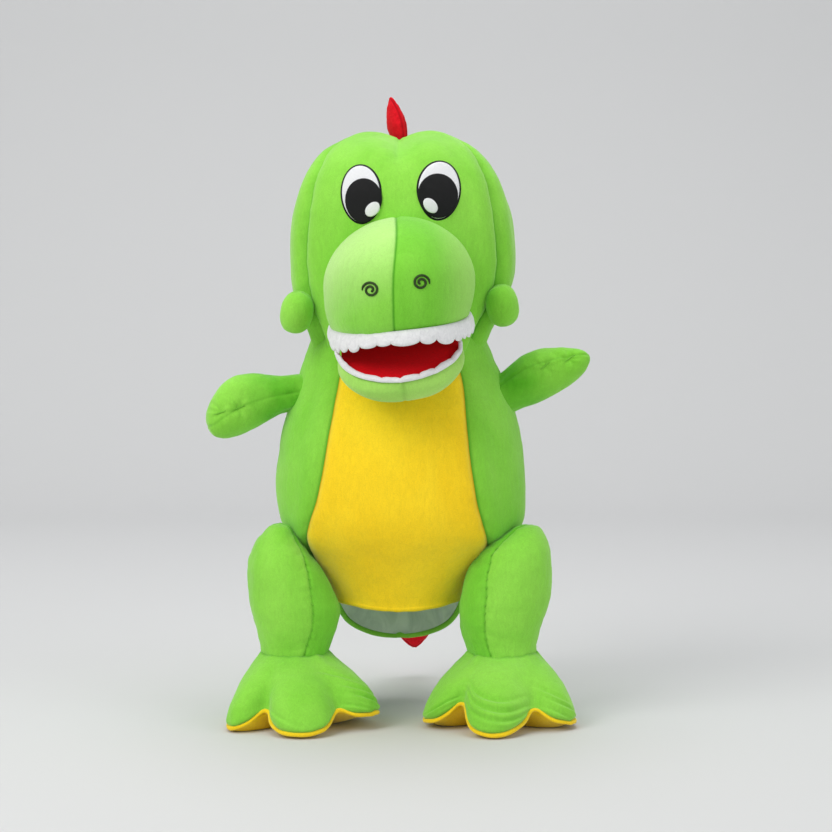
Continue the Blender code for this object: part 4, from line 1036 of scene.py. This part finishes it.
def build_arm(side, word):
    """An arm hangs along its own +Z: its x is its height, and the seams run along its front and back."""
    if side < 0:
        keys = ((-0.0300, 0.0110, 0.0110, -0.0080, 0), (-0.0150, 0.0132, 0.0130, -0.0052, 0),
                (0.0, 0.0152, 0.0145, -0.0026, 0), (0.0120, 0.0188, 0.0160, -0.0012, 0),
                (0.0240, 0.0207, 0.0172, -0.0012, 0), (0.0340, 0.0199, 0.0172, -0.0028, 0),
                (0.0420, 0.0173, 0.0156, -0.0050, 0), (0.0490, 0.0127, 0.0120, -0.0075, 0),
                (0.0530, 0.0072, 0.0070, -0.0089, 0), (0.0545, 0.0008, 0.0008, -0.0092, 0))
        seam_lift = 0.0
    else:
        keys = ((-0.0300, 0.0125, 0.0120, -0.0020, 0), (-0.0150, 0.0146, 0.0138, -0.0042, 0),
                (0.0, 0.0168, 0.0154, -0.0060, 0), (0.0120, 0.0182, 0.0162, -0.0068, 0),
                (0.0240, 0.0174, 0.0160, -0.0066, 0), (0.0340, 0.0150, 0.0145, -0.0057, 0),
                (0.0430, 0.0118, 0.0118, -0.0048, 0), (0.0495, 0.0080, 0.0082, -0.0044, 0),
                (0.0535, 0.0042, 0.0044, -0.0042, 0), (0.0552, 0.0008, 0.0008, -0.0042, 0))
        seam_lift = math.radians(-27)
    grid = limb_grid(keys, 100, 96, twist=seam_lift)
    out = normals(grid)
    edge = across(grid, (0, 48))
    place = lengthwise(grid)
    seed = 120.0 + 10 * side
    amount = groove(edge, 0.0004, 0.0011) + puckers(edge, place, 0.0007, 0.007, 0.0085, seed)
    amount += 0.0007 * rough(grid, 55.0, seed + 3)
    # The seam at the shoulder gathers the cloth.
    root = bell(grid[..., 2] + 0.010, 0.009)
    turn = (np.arange(96) / 96)[None, :]
    amount += root * 0.0009 * wave(turn, 0.07, seed + 5)
    # Two tacks through the mitten's end draw it in between the fingers.
    tacks = ((-0.0012, 0.0435), (-0.0020, 0.0292)) if side < 0 else ((-0.0110, 0.0240), (-0.0085, 0.0420))
    for height, along in tacks:
        near = np.hypot((grid[..., 0] - height) / 0.0045, (grid[..., 2] - along) / 0.0045)
        facing = np.where(out[..., 1] < -0.2, 1, 0.1)
        amount -= 0.0022 * np.exp(-(near**2)) * facing
        away = np.hypot(grid[..., 0] - height, grid[..., 2] - along)
        turned = np.arctan2(grid[..., 0] - height, grid[..., 2] - along)
        rays = np.cos(7 * turned + 1.3 * np.cos(2 * turned + seed))
        amount += 0.0006 * rays * bell(away, 0.0095) * (1 - bell(away, 0.003)) * facing
    grid = grid + amount[..., None] * out
    aim = (Matrix.Rotation(side * math.radians(-12), 4, "Z")
           @ Matrix.Rotation(side * (math.pi / 2 - RISE[side]), 4, "Y"))
    shoulder = Vector((side * 0.0928, -0.008 + AXIS_Y, 0.2392 if side > 0 else 0.2400))
    spot = Matrix.Translation(shoulder) @ aim
    # Painted shade: darker round the arm near its root.
    nap = 0.85 * bell(grid[..., 2] - 0.002, 0.017) * (0.75 + 0.4 * rough(grid, 60.0, seed + 6))
    arm = skin(f"arm_pad_{word}", moved(grid, spot), [ARM_GREEN], seam=0.28 * bell(edge, 0.0008),
               nap=np.clip(nap, 0, 1))
    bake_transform(arm)
    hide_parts(f"arm_{word}_upper_panel", f"arm_{word}_lower_panel", f"arm_{word}_stuffing")
    tree = surface_of(arm)
    for number, (height, along) in enumerate(tacks):
        path = []
        for k in range(9):
            at = spot @ Vector((height * (1 + 0.2 * (k / 8 - 0.5)), -0.04, along - 0.0035 + 0.0085 * k / 8))
            direction = (spot.to_3x3() @ Vector((0, 1, 0))).normalized()
            hit, _, _, _ = tree.ray_cast(at, direction)
            if hit is not None:
                path.append(np.array(hit - direction * 0.0003))
        if len(path) > 4:
            tack = thread(f"arm_tack_{word}_{number}", path, 0.00055, GREEN_THREAD, sides=6, taper=2)
            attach(tack, f"arm_{word}")


def build_leg(side, word):
    """A stuffed thigh and shin, narrowing to the ankle, with a hand-sewn seam in front."""
    hip = Vector(HIPS[word])
    if side < 0:
        keys = ((0.0385, 0.0150, 0.0150, 0, 0), (0.0420, 0.0225, 0.0225, 0, 0),
                (0.0480, 0.0245, 0.0245, 0, 0), (0.0560, 0.0262, 0.0260, -0.0008, 0),
                (0.0680, 0.0298, 0.0295, -0.0016, 0), (0.0820, 0.0326, 0.0318, -0.0006, 0),
                (0.0940, 0.0310, 0.0320, 0.0026, 0), (0.1120, 0.0264, 0.0300, 0.0076, 0),
                (0.1240, 0.0206, 0.0250, 0.0110, 0), (0.1320, 0.0152, 0.0195, 0.0126, 0),
                (0.1390, 0.0096, 0.0130, 0.0118, 0), (0.1430, 0.0048, 0.0070, 0.0110, 0),
                (0.1446, 0.0008, 0.0010, 0.0106, 0))
        seam_at = ((0.040, 0.24), (0.050, 0.32), (0.093, 0.54), (0.115, 0.84), (0.128, 1.15), (0.145, 1.45))
    else:
        keys = ((0.0385, 0.0150, 0.0150, 0, 0), (0.0420, 0.0230, 0.0230, 0, 0),
                (0.0480, 0.0248, 0.0248, 0, 0), (0.0560, 0.0262, 0.0260, -0.0014, 0),
                (0.0680, 0.0294, 0.0292, -0.0018, 0), (0.0820, 0.0322, 0.0316, 0.0002, 0),
                (0.0940, 0.0328, 0.0324, 0.0024, 0), (0.1120, 0.0302, 0.0310, 0.0052, 0),
                (0.1230, 0.0262, 0.0275, 0.0082, 0), (0.1310, 0.0200, 0.0222, 0.0124, 0),
                (0.1380, 0.0122, 0.0145, 0.0160, 0), (0.1420, 0.0060, 0.0075, 0.0172, 0),
                (0.1436, 0.0008, 0.0010, 0.0174, 0))
        seam_at = ((0.040, 0.30), (0.050, 0.37), (0.093, 0.50), (0.115, 0.66), (0.130, 0.86), (0.145, 1.10))
    grid = limb_grid(keys, 120, 120, twist=lambda place: -smooth(seam_at, place)[:, 0])
    grid[..., 0] *= side
    grid[..., 0] += hip.x
    grid[..., 1] += hip.y
    out = normals(grid)
    front, behind = 0, 60
    edge = across(grid, (front, behind))
    place = lengthwise(grid)
    seed = 150.0 + 10 * side
    amount = groove(edge, 0.0008, 0.0013) + puckers(edge, place, 0.0009, 0.008, 0.0095, seed)
    amount += 0.0009 * rough(grid, 34.0, seed + 2) + 0.0004 * rough(grid, 90.0, seed + 4)
    ankle = bell(grid[..., 2] - 0.0445, 0.0030)
    turn = (np.arange(120) / 120)[None, :]
    amount -= 0.0016 * ankle
    near = np.exp(-np.clip(grid[..., 2] - 0.0445, 0, 1) / 0.009)
    amount += near * 0.0009 * wave(turn, 0.045, seed + 8)
    # A soft crease where the thigh folds against the body.
    amount -= (0.0012 * bell(grid[..., 2] - 0.121 - 0.25 * (grid[..., 1] - hip.y), 0.004)
               * eased(-side * (grid[..., 0] - hip.x) / 0.02))
    grid = grid + amount[..., None] * out
    wobble = 0.0005 * wave(grid[..., 2], 0.018, seed + 9) * bell(edge, 0.012)
    grid[..., 0] += wobble
    # The inner half of each leg is in the shaded copy of the green: painted shade.
    picks = lambda r, c: np.where(c < behind, 0, 1)
    leg = skin(f"leg_pad_{word}", to_row(grid), [GREEN, GREEN_SHADED], picks, seam=0.4 * bell(edge, 0.0007))
    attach(leg, f"leg_{word}")
    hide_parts(f"leg_{word}_inner_panel", f"leg_{word}_outer_panel", f"leg_{word}_stuffing")
    # Hand stitches that close the front seam.
    line = to_row(grid)[:, front]
    lift = out[:, front]
    steps = np.concatenate([[0], np.cumsum(np.linalg.norm(np.diff(line, axis=0), axis=1))])
    for s in np.arange(0.018, steps[-1] - 0.030, 0.0062):
        ends = [np.array([np.interp(s + d, steps, line[:, i]) for i in range(3)])
                for d in (-0.0008, 0.0, 0.0010)]
        up = np.array([np.interp(s, steps, lift[:, i]) for i in range(3)])
        slant = np.array((0.0011 * side, 0, 0))
        path = [ends[0] - slant + 0.0001 * up, ends[0] - 0.5 * slant + 0.0007 * up, ends[1] + 0.0009 * up,
                ends[2] + 0.5 * slant + 0.0007 * up, ends[2] + slant + 0.0001 * up]
        STITCHES.setdefault(word, []).append(path)
    return leg


def stitch_row(name, paths, radius, body, material):
    """Many short stitches as one mesh."""
    points, faces = [], []
    for path in paths:
        path = np.asarray(path)
        ahead = np.gradient(path, axis=0)
        ahead /= np.linalg.norm(ahead, axis=1, keepdims=True)
        side = np.cross(ahead, (0, -1.0, 0.0))
        side /= np.maximum(np.linalg.norm(side, axis=1, keepdims=True), 1e-9)
        rise = np.cross(side, ahead)
        start = len(points)
        size = np.array([0.35, 0.9, 1.0, 0.9, 0.35]) * radius
        for here, s, r, w in zip(path, side, rise, size):
            points += [here + w * (s * math.cos(t) + r * math.sin(t)) for t in TAU * np.arange(6) / 6]
        faces += quads(5, 6, True, start)
        faces += [tuple(start + k for k in range(6)), tuple(start + 24 + k for k in range(6))]
    obj = bake(name, points, faces, [material], seam=np.zeros(len(points)))
    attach(obj, body)
    return obj


# ---- Feet --------------------------------------------------------------------------------------
FLOOR = 0.0004                   # the lowest that a sole comes
# Round each foot from its middle toe: degrees towards the puppet's middle, reach, height of the sole's seam.
FOOT_PLAN = {
    "left": ((-180, 0.036, 0.0045), (-140, 0.038, 0.0045), (-105, 0.044, 0.0050), (-80, 0.0500, 0.0055),
             (-62, 0.0590, 0.0045), (-47, 0.0660, 0.0035), (-39, 0.0610, 0.0065), (-31, 0.0500, 0.0125),
             (-24, 0.0520, 0.0110), (-9, 0.0655, 0.0050), (4, 0.0690, 0.0035), (15, 0.0650, 0.0055),
             (26, 0.0540, 0.0115), (34, 0.0520, 0.0135), (44, 0.0580, 0.0135), (60, 0.0630, 0.0125),
             (75, 0.0560, 0.0100), (105, 0.0440, 0.0060), (140, 0.038, 0.0045), (180, 0.036, 0.0045)),
    "right": ((-180, 0.036, 0.0045), (-140, 0.038, 0.0045), (-105, 0.044, 0.0050), (-80, 0.0555, 0.0055),
              (-60, 0.0635, 0.0055), (-46, 0.0600, 0.0085), (-32, 0.0510, 0.0140), (-21, 0.0530, 0.0110),
              (-5, 0.0665, 0.0045), (7, 0.0690, 0.0035), (18, 0.0630, 0.0070), (27, 0.0520, 0.0155),
              (33, 0.0480, 0.0175), (42, 0.0520, 0.0135), (52, 0.0570, 0.0080), (64, 0.0575, 0.0055),
              (78, 0.0520, 0.0050), (105, 0.0430, 0.0050), (140, 0.038, 0.0045), (180, 0.036, 0.0045)),
}


def build_foot(side, word):
    """A three-toed foot: the upper from ankle to seam, the flat sole, and the sole's rim."""
    columns, above, below = 216, 66, 34
    turn = np.linspace(-180, 180, columns, endpoint=False)
    plan = smooth(FOOT_PLAN[word], turn)
    bent = np.radians(turn) * -side              # positive turns lead to the puppet's middle
    middle = np.array((side * 0.0705, -0.040))
    ankle = np.array((side * 0.0765, -0.032))
    ahead = np.stack([np.sin(bent), -np.cos(bent)], axis=1)
    edge_xy = middle + plan[:, 0:1] * ahead
    ring_xy = ankle + 0.0250 * ahead
    high, seam_z = 0.0500, plan[:, 1]
    profile = ((0.0, 0.0, 1.0), (0.14, 0.13, 0.93), (0.33, 0.42, 0.76), (0.52, 0.70, 0.56),
               (0.70, 0.89, 0.35), (0.84, 0.985, 0.18), (0.94, 1.025, 0.070), (1.0, 1.0, 0.0))
    share = crowded(0, 1, above, 0.3)
    share = np.append(share, 1.0)
    p = smooth(profile, share)
    xy = ring_xy[None] + (edge_xy - ring_xy)[None] * p[:, 0:1, None]
    z = seam_z[None] + (high - seam_z)[None] * p[:, 1:2]
    upper = np.concatenate([xy, z[..., None]], axis=2)
    # The underside: from the seam down to the floor, then flat to the middle.
    under = []
    for k in range(1, below + 1):
        s = k / below
        inset = np.minimum(0.0025 + 3.6 * (seam_z - 0.003), 0.75 * plan[:, 0])
        first = min(1.0, s / 0.35)
        if s <= 0.35:
            reach = plan[:, 0] - inset * first
            height = seam_z * (1 - first) ** 1.1 + FLOOR
        else:
            reach = (plan[:, 0] - inset) * (1 - (s - 0.35) / 0.65 * 0.995)
            height = np.full(columns, FLOOR)
        here = middle + reach[:, None] * ahead
        under.append(np.concatenate([here, height[:, None]], axis=1))
    grid = np.concatenate([upper, np.array(under)])
    out = normals(grid)
    rows = len(grid)
    seam_row = above
    rise = lengthwise(grid)
    gap = np.abs(rise - rise[seam_row:seam_row + 1])
    seed = 180.0 + 10 * side
    top = (np.arange(rows) <= seam_row)[:, None]
    climb = np.where(top, (np.arange(rows) / seam_row)[:, None], 1.0)
    angle = turn[None, :]
    amount = groove(gap, 0.0010, 0.0016) + 0.0008 * rough(grid, 40.0, seed) * np.where(top, 1, 0.2)
    amount += np.where(top, puckers(gap, angle * 0.001, 0.0007, 0.006, 0.010, seed + 2), 0)
    # Creases run up from the gaps between the toes.
    for centre in ((-30, 34) if word == "left" else (-32, 33)):
        amount -= np.where(top, 0.0030 * bell(angle - centre, 6.0) * eased((climb - 0.45) / 0.4), 0)
        amount += np.where(top, 0.0012 * bell(angle - centre - 14, 9.0) * eased((climb - 0.4) / 0.4), 0)
    # Wrinkles: degrees, place from ankle to seam, width in degrees, slant, depth.
    wrinkles = {
        "left": ((52, 0.60, 12, 0.007, 0.0016), (56, 0.74, 11, 0.008, 0.0018), (47, 0.86, 9, 0.008, 0.0012),
                 (40, 0.40, 14, 0.006, 0.0010), (-12, 0.80, 10, 0.002, 0.0006)),
        "right": ((8, 0.56, 22, -0.002, 0.0022), (2, 0.68, 24, -0.0035, 0.0020),
                  (-2, 0.80, 22, -0.004, 0.0013), (48, 0.80, 12, 0.006, 0.0016),
                  (-48, 0.62, 12, -0.007, 0.0014), (-56, 0.76, 11, -0.008, 0.0018),
                  (-50, 0.88, 9, -0.008, 0.0012)),
    }[word]
    for centre, at, width, slant, depth in wrinkles:
        line = climb - at - slant * (angle - centre) - 0.02 * ((angle - centre) / width) ** 2
        fade = bell(angle - centre, width)
        amount -= np.where(top, depth * fade * (bell(line, 0.022) - 0.7 * bell(line - 0.055, 0.03)), 0)
    near = np.exp(-np.clip(rise / 0.007, 0, 30))
    amount += near * 0.0010 * wave(angle / 360.0, 0.045, seed + 8)
    amount *= np.where(top, 1.0, np.exp(-(gap / 0.004)))
    grid = grid + amount[..., None] * out
    grid[..., 2] = np.maximum(grid[..., 2], FLOOR)
    picks = lambda r, c: np.where(r < seam_row, 0, 1)
    seam = 0.6 * bell(gap, 0.0009) + 0.55 * bell(rise, 0.0012)
    foot = skin(f"foot_pad_{word}", to_row(grid), [GREEN, YELLOW], picks, poles=(True, True), seam=seam)
    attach(foot, f"foot_{word}")
    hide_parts(f"foot_{word}_upper", f"foot_{word}_sole", f"foot_{word}_stuffing")
    # The sole's cloth turns up round the edge as a soft yellow rim.
    rim_line = grid[seam_row] + 0.0003 * out[seam_row] + np.array((0, 0, -0.0011))
    around = TAU * np.arange(10) / 10
    outward = out[seam_row].copy()
    outward[:, 2] = 0
    outward /= np.linalg.norm(outward, axis=1, keepdims=True)
    size = 0.0016 + 0.00025 * wave(turn, 9.0, seed + 11)
    tube = rim_line[:, None] + size[:, None, None] * (outward[:, None] * np.cos(around)[None, :, None]
                                                      + np.array((0, 0, 1.0)) * np.sin(around)[None, :, None])
    tube[..., 2] = np.maximum(tube[..., 2], FLOOR)
    rim = bake(f"sole_rim_{word}", to_row(tube), hoop(columns, 10), [YELLOW], seam=np.zeros(columns * 10))
    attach(rim, f"foot_{word}")


# ---- The tail and the red spikes ---------------------------------------------------------------
def build_tail():
    """The tail, drooping behind the opening. Returns its place, for its spikes."""
    keys = ((-0.0300, 0.0230, 0.0230, 0, 0), (-0.0150, 0.0262, 0.0258, 0, 0), (0.0, 0.0262, 0.0256, 0, 0),
            (0.0180, 0.0232, 0.0222, 0, -0.0008), (0.0360, 0.0186, 0.0176, 0, -0.0024),
            (0.0520, 0.0132, 0.0126, 0, -0.0048), (0.0640, 0.0072, 0.0070, 0, -0.0078),
            (0.0685, 0.0010, 0.0010, 0, -0.0092))
    grid = limb_grid(keys, 100, 96)
    out = normals(grid)
    edge = across(grid, (0, 48))
    place = lengthwise(grid)
    amount = (groove(edge, 0.0018, 0.0022) + puckers(edge, place, 0.0010, 0.006, 0.008, 210.0)
              + 0.0007 * rough(grid, 45.0, 212.0))
    grid = grid + amount[..., None] * out
    down = Matrix.Rotation(-math.pi / 2 - math.radians(51), 4, "X")
    place_tail = (Matrix.Translation((0, 0.0945 + AXIS_Y, 0.112)) @ Matrix.Rotation(math.radians(-6), 4, "Z")
                  @ down)
    tail = skin("tail_pad", moved(grid, place_tail), [GREEN], seam=bell(edge, 0.0010))
    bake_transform(tail)
    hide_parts("tail_skin", "tail_stuffing")
    return place_tail


def build_spike(name, node, body, spot, height, length, thickness, bend=0.0, seed=0.0):
    """A flat stuffed leaf of felt with a seam round its edge."""
    rows, columns = 52, 56
    up = np.linspace(0.0, 1.0, rows)
    shape = ((0.0, 0.50), (0.12, 0.78), (0.30, 0.98), (0.48, 1.0), (0.66, 0.84), (0.82, 0.58), (0.93, 0.33),
             (1.0, 0.06))
    wide = smooth(shape, up)[:, 0]
    turn = TAU * np.arange(columns) / columns
    x = (thickness / 2 * wide)[:, None] * power(np.sin(turn), 1.0)[None, :]
    y = (length / 2 * wide)[:, None] * power(np.cos(turn), 0.86)[None, :]
    y = y + (bend * up**2)[:, None]
    grid = np.stack([x, y, np.repeat((height * up)[:, None], columns, axis=1)], axis=2)
    out = normals(grid)
    edge = across(grid, (0, columns // 2))
    place = lengthwise(grid)
    amount = groove(edge, -0.0006, 0.0007) + groove(edge - 0.0016, 0.0006, 0.0009)
    amount += puckers(edge, place, 0.0006, 0.004, 0.0045, seed + 1) + 0.0004 * rough(grid, 110.0, seed + 3)
    grid = grid + amount[..., None] * out
    spike = skin(name, moved(grid, spot), [RED_FELT], seam=0.8 * bell(edge - 0.0014, 0.0007))
    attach(spike, body)
    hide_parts(node)
    return spike


def build_spikes(tail_place):
    """The crest, the spikes down the back, and two on the tail."""
    rows = (
        ("nape_spike", "head", (0.0015, 0.0790, 0.372), 78, 0.0320, 0.034, 0.0130),
        ("shoulder_spike", "torso", (0.0, 0.0600, 0.241), 72, 0.0320, 0.036, 0.0130),
        ("back_spike", "torso", (0.0, 0.0715, 0.196), 92, 0.0350, 0.040, 0.0140),
        ("rump_spike", "torso", (0.0, 0.0725, 0.158), 92, 0.0300, 0.034, 0.0130),
    )
    for node, body, foot, lean, height, length, thick in rows:
        spot = (Matrix.Translation((foot[0], foot[1] + AXIS_Y, foot[2]))
                @ Matrix.Rotation(math.radians(-lean), 4, "X"))
        build_spike(node.replace("_spike", "_leaf"), node, body, spot, height, length, thick,
                    seed=230.0 + lean)
    crest = Matrix.Translation((0.0016, 0.014 + AXIS_Y, 0.4225)) @ Matrix.Rotation(math.radians(-13), 4, "Y")
    crest = crest @ Matrix.Rotation(math.radians(-5), 4, "X") @ Matrix.Rotation(math.radians(38), 4, "Z")
    build_spike("crest_leaf", "crest_spike", "head", crest, 0.0360, 0.0175, 0.0110, seed=250.0)
    ridge = tail_place @ Matrix.Translation((0, -0.0210, 0.022)) @ Matrix.Rotation(math.radians(84), 4, "X")
    build_spike("tail_leaf", "tail_spike", "tail", ridge, 0.0255, 0.028, 0.012, seed=260.0)
    tip = (tail_place @ Matrix.Translation((0.006, -0.0090, 0.0665))
           @ Matrix.Rotation(math.radians(-36), 4, "X"))
    tip = tip @ Matrix.Rotation(math.radians(70), 4, "Z")
    build_spike("tail_tip_leaf", "tail_tip_spike", "tail", tip, 0.0420, 0.034, 0.014, seed=270.0)


# ---- The studio --------------------------------------------------------------------------------
# ---- The studio --------------------------------------------------------------------------------
SWEEP_FRONT, SWEEP_BACK, SWEEP_BEND, SWEEP_TOP, SWEEP_HALF = -2.6, 1.35, 0.75, 3.2, 3.6
CAMERA_PLACE = (0.0126, -1.7105, 0.327)
CAMERA_DOWN = 3.57               # degrees below level
LENS, SENSOR = 99.04, 36.0


def build_studio():
    """A seamless pale sweep, soft boxes and the camera."""
    bend = np.linspace(0.05, math.pi / 2, 24)
    profile = [(SWEEP_FRONT, 0.0), (SWEEP_BACK, 0.0)]
    profile += [(SWEEP_BACK + SWEEP_BEND * math.sin(a), SWEEP_BEND - SWEEP_BEND * math.cos(a)) for a in bend]
    profile += [(SWEEP_BACK + SWEEP_BEND, SWEEP_TOP)]
    grid = np.array([[(x, y, z - 0.0001) for x in (-SWEEP_HALF, SWEEP_HALF)] for y, z in profile])
    paper = bpy.data.materials.new("studio_paper")
    paper.use_nodes = True
    shader = paper.node_tree.nodes["Principled BSDF"]
    shader.inputs["Base Color"].default_value = (0.62, 0.623, 0.627, 1.0)
    shader.inputs["Roughness"].default_value = 0.75
    shader.inputs["Specular IOR Level"].default_value = 0.2
    sweep = skin("studio_sweep", grid, [paper], poles=(False, False), wrap=False)

    world = bpy.data.worlds.new("studio_air")
    bpy.context.scene.world = world
    world.use_nodes = True
    air = world.node_tree.nodes["Background"]
    air.inputs["Color"].default_value = (0.97, 0.985, 1.0, 1.0)
    air.inputs["Strength"].default_value = 0.45
    lamps = (
        ("key_box", (-1.5, -1.5, 1.7), (0, 0, 0.24), 1.5, 36.0, (1.0, 0.99, 0.97)),
        ("fill_box", (1.7, -1.3, 0.9), (0, 0, 0.22), 1.4, 11.0, (0.98, 0.99, 1.0)),
        ("top_box", (0.0, 0.1, 2.3), (0, 0, 0.2), 1.6, 18.0, (1.0, 1.0, 1.0)),
        ("wall_box", (0.0, 0.9, 2.6), (0, 1.9, 0.3), 1.8, 12.0, (1.0, 1.0, 1.0)),
    )
    for name, spot, target, size, watts, colour in lamps:
        light = bpy.data.lights.new(name, "AREA")
        light.shape = "SQUARE"
        light.size = size
        light.energy = watts
        light.color = colour
        lamp = bpy.data.objects.new(name, light)
        lamp.location = spot
        lamp.rotation_euler = (Vector(target) - Vector(spot)).to_track_quat("-Z", "Y").to_euler()
        bpy.context.scene.collection.objects.link(lamp)

    camera = bpy.data.objects.new("studio_camera", bpy.data.cameras.new("studio_camera"))
    camera.data.lens = LENS
    camera.data.sensor_width = SENSOR
    camera.location = CAMERA_PLACE
    camera.rotation_euler = (math.radians(90 - CAMERA_DOWN), 0, 0)
    bpy.context.scene.collection.objects.link(camera)
    bpy.context.scene.camera = camera
    bpy.context.scene.view_settings.view_transform = "Standard"


# ---- Everything in order -----------------------------------------------------------------------
build_studio()
SIDES = ((-1, "left"), (1, "right"))
leg_pieces = {side_word: build_leg(side_sign, side_word) for side_sign, side_word in SIDES}
build_body(leg_pieces)
head_piece = build_head()
snout_piece = build_snout()
build_mouth()
build_eyes(head_piece)
build_nostrils(snout_piece)
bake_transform(head_piece)
for side_sign, side_word in SIDES:
    build_ear(side_sign, side_word)
    build_arm(side_sign, side_word)
    stitch_row(f"leg_stitches_{side_word}", STITCHES[side_word], STITCH_RADIUS, f"leg_{side_word}",
               GREEN_THREAD)
    build_foot(side_sign, side_word)
build_spikes(build_tail())
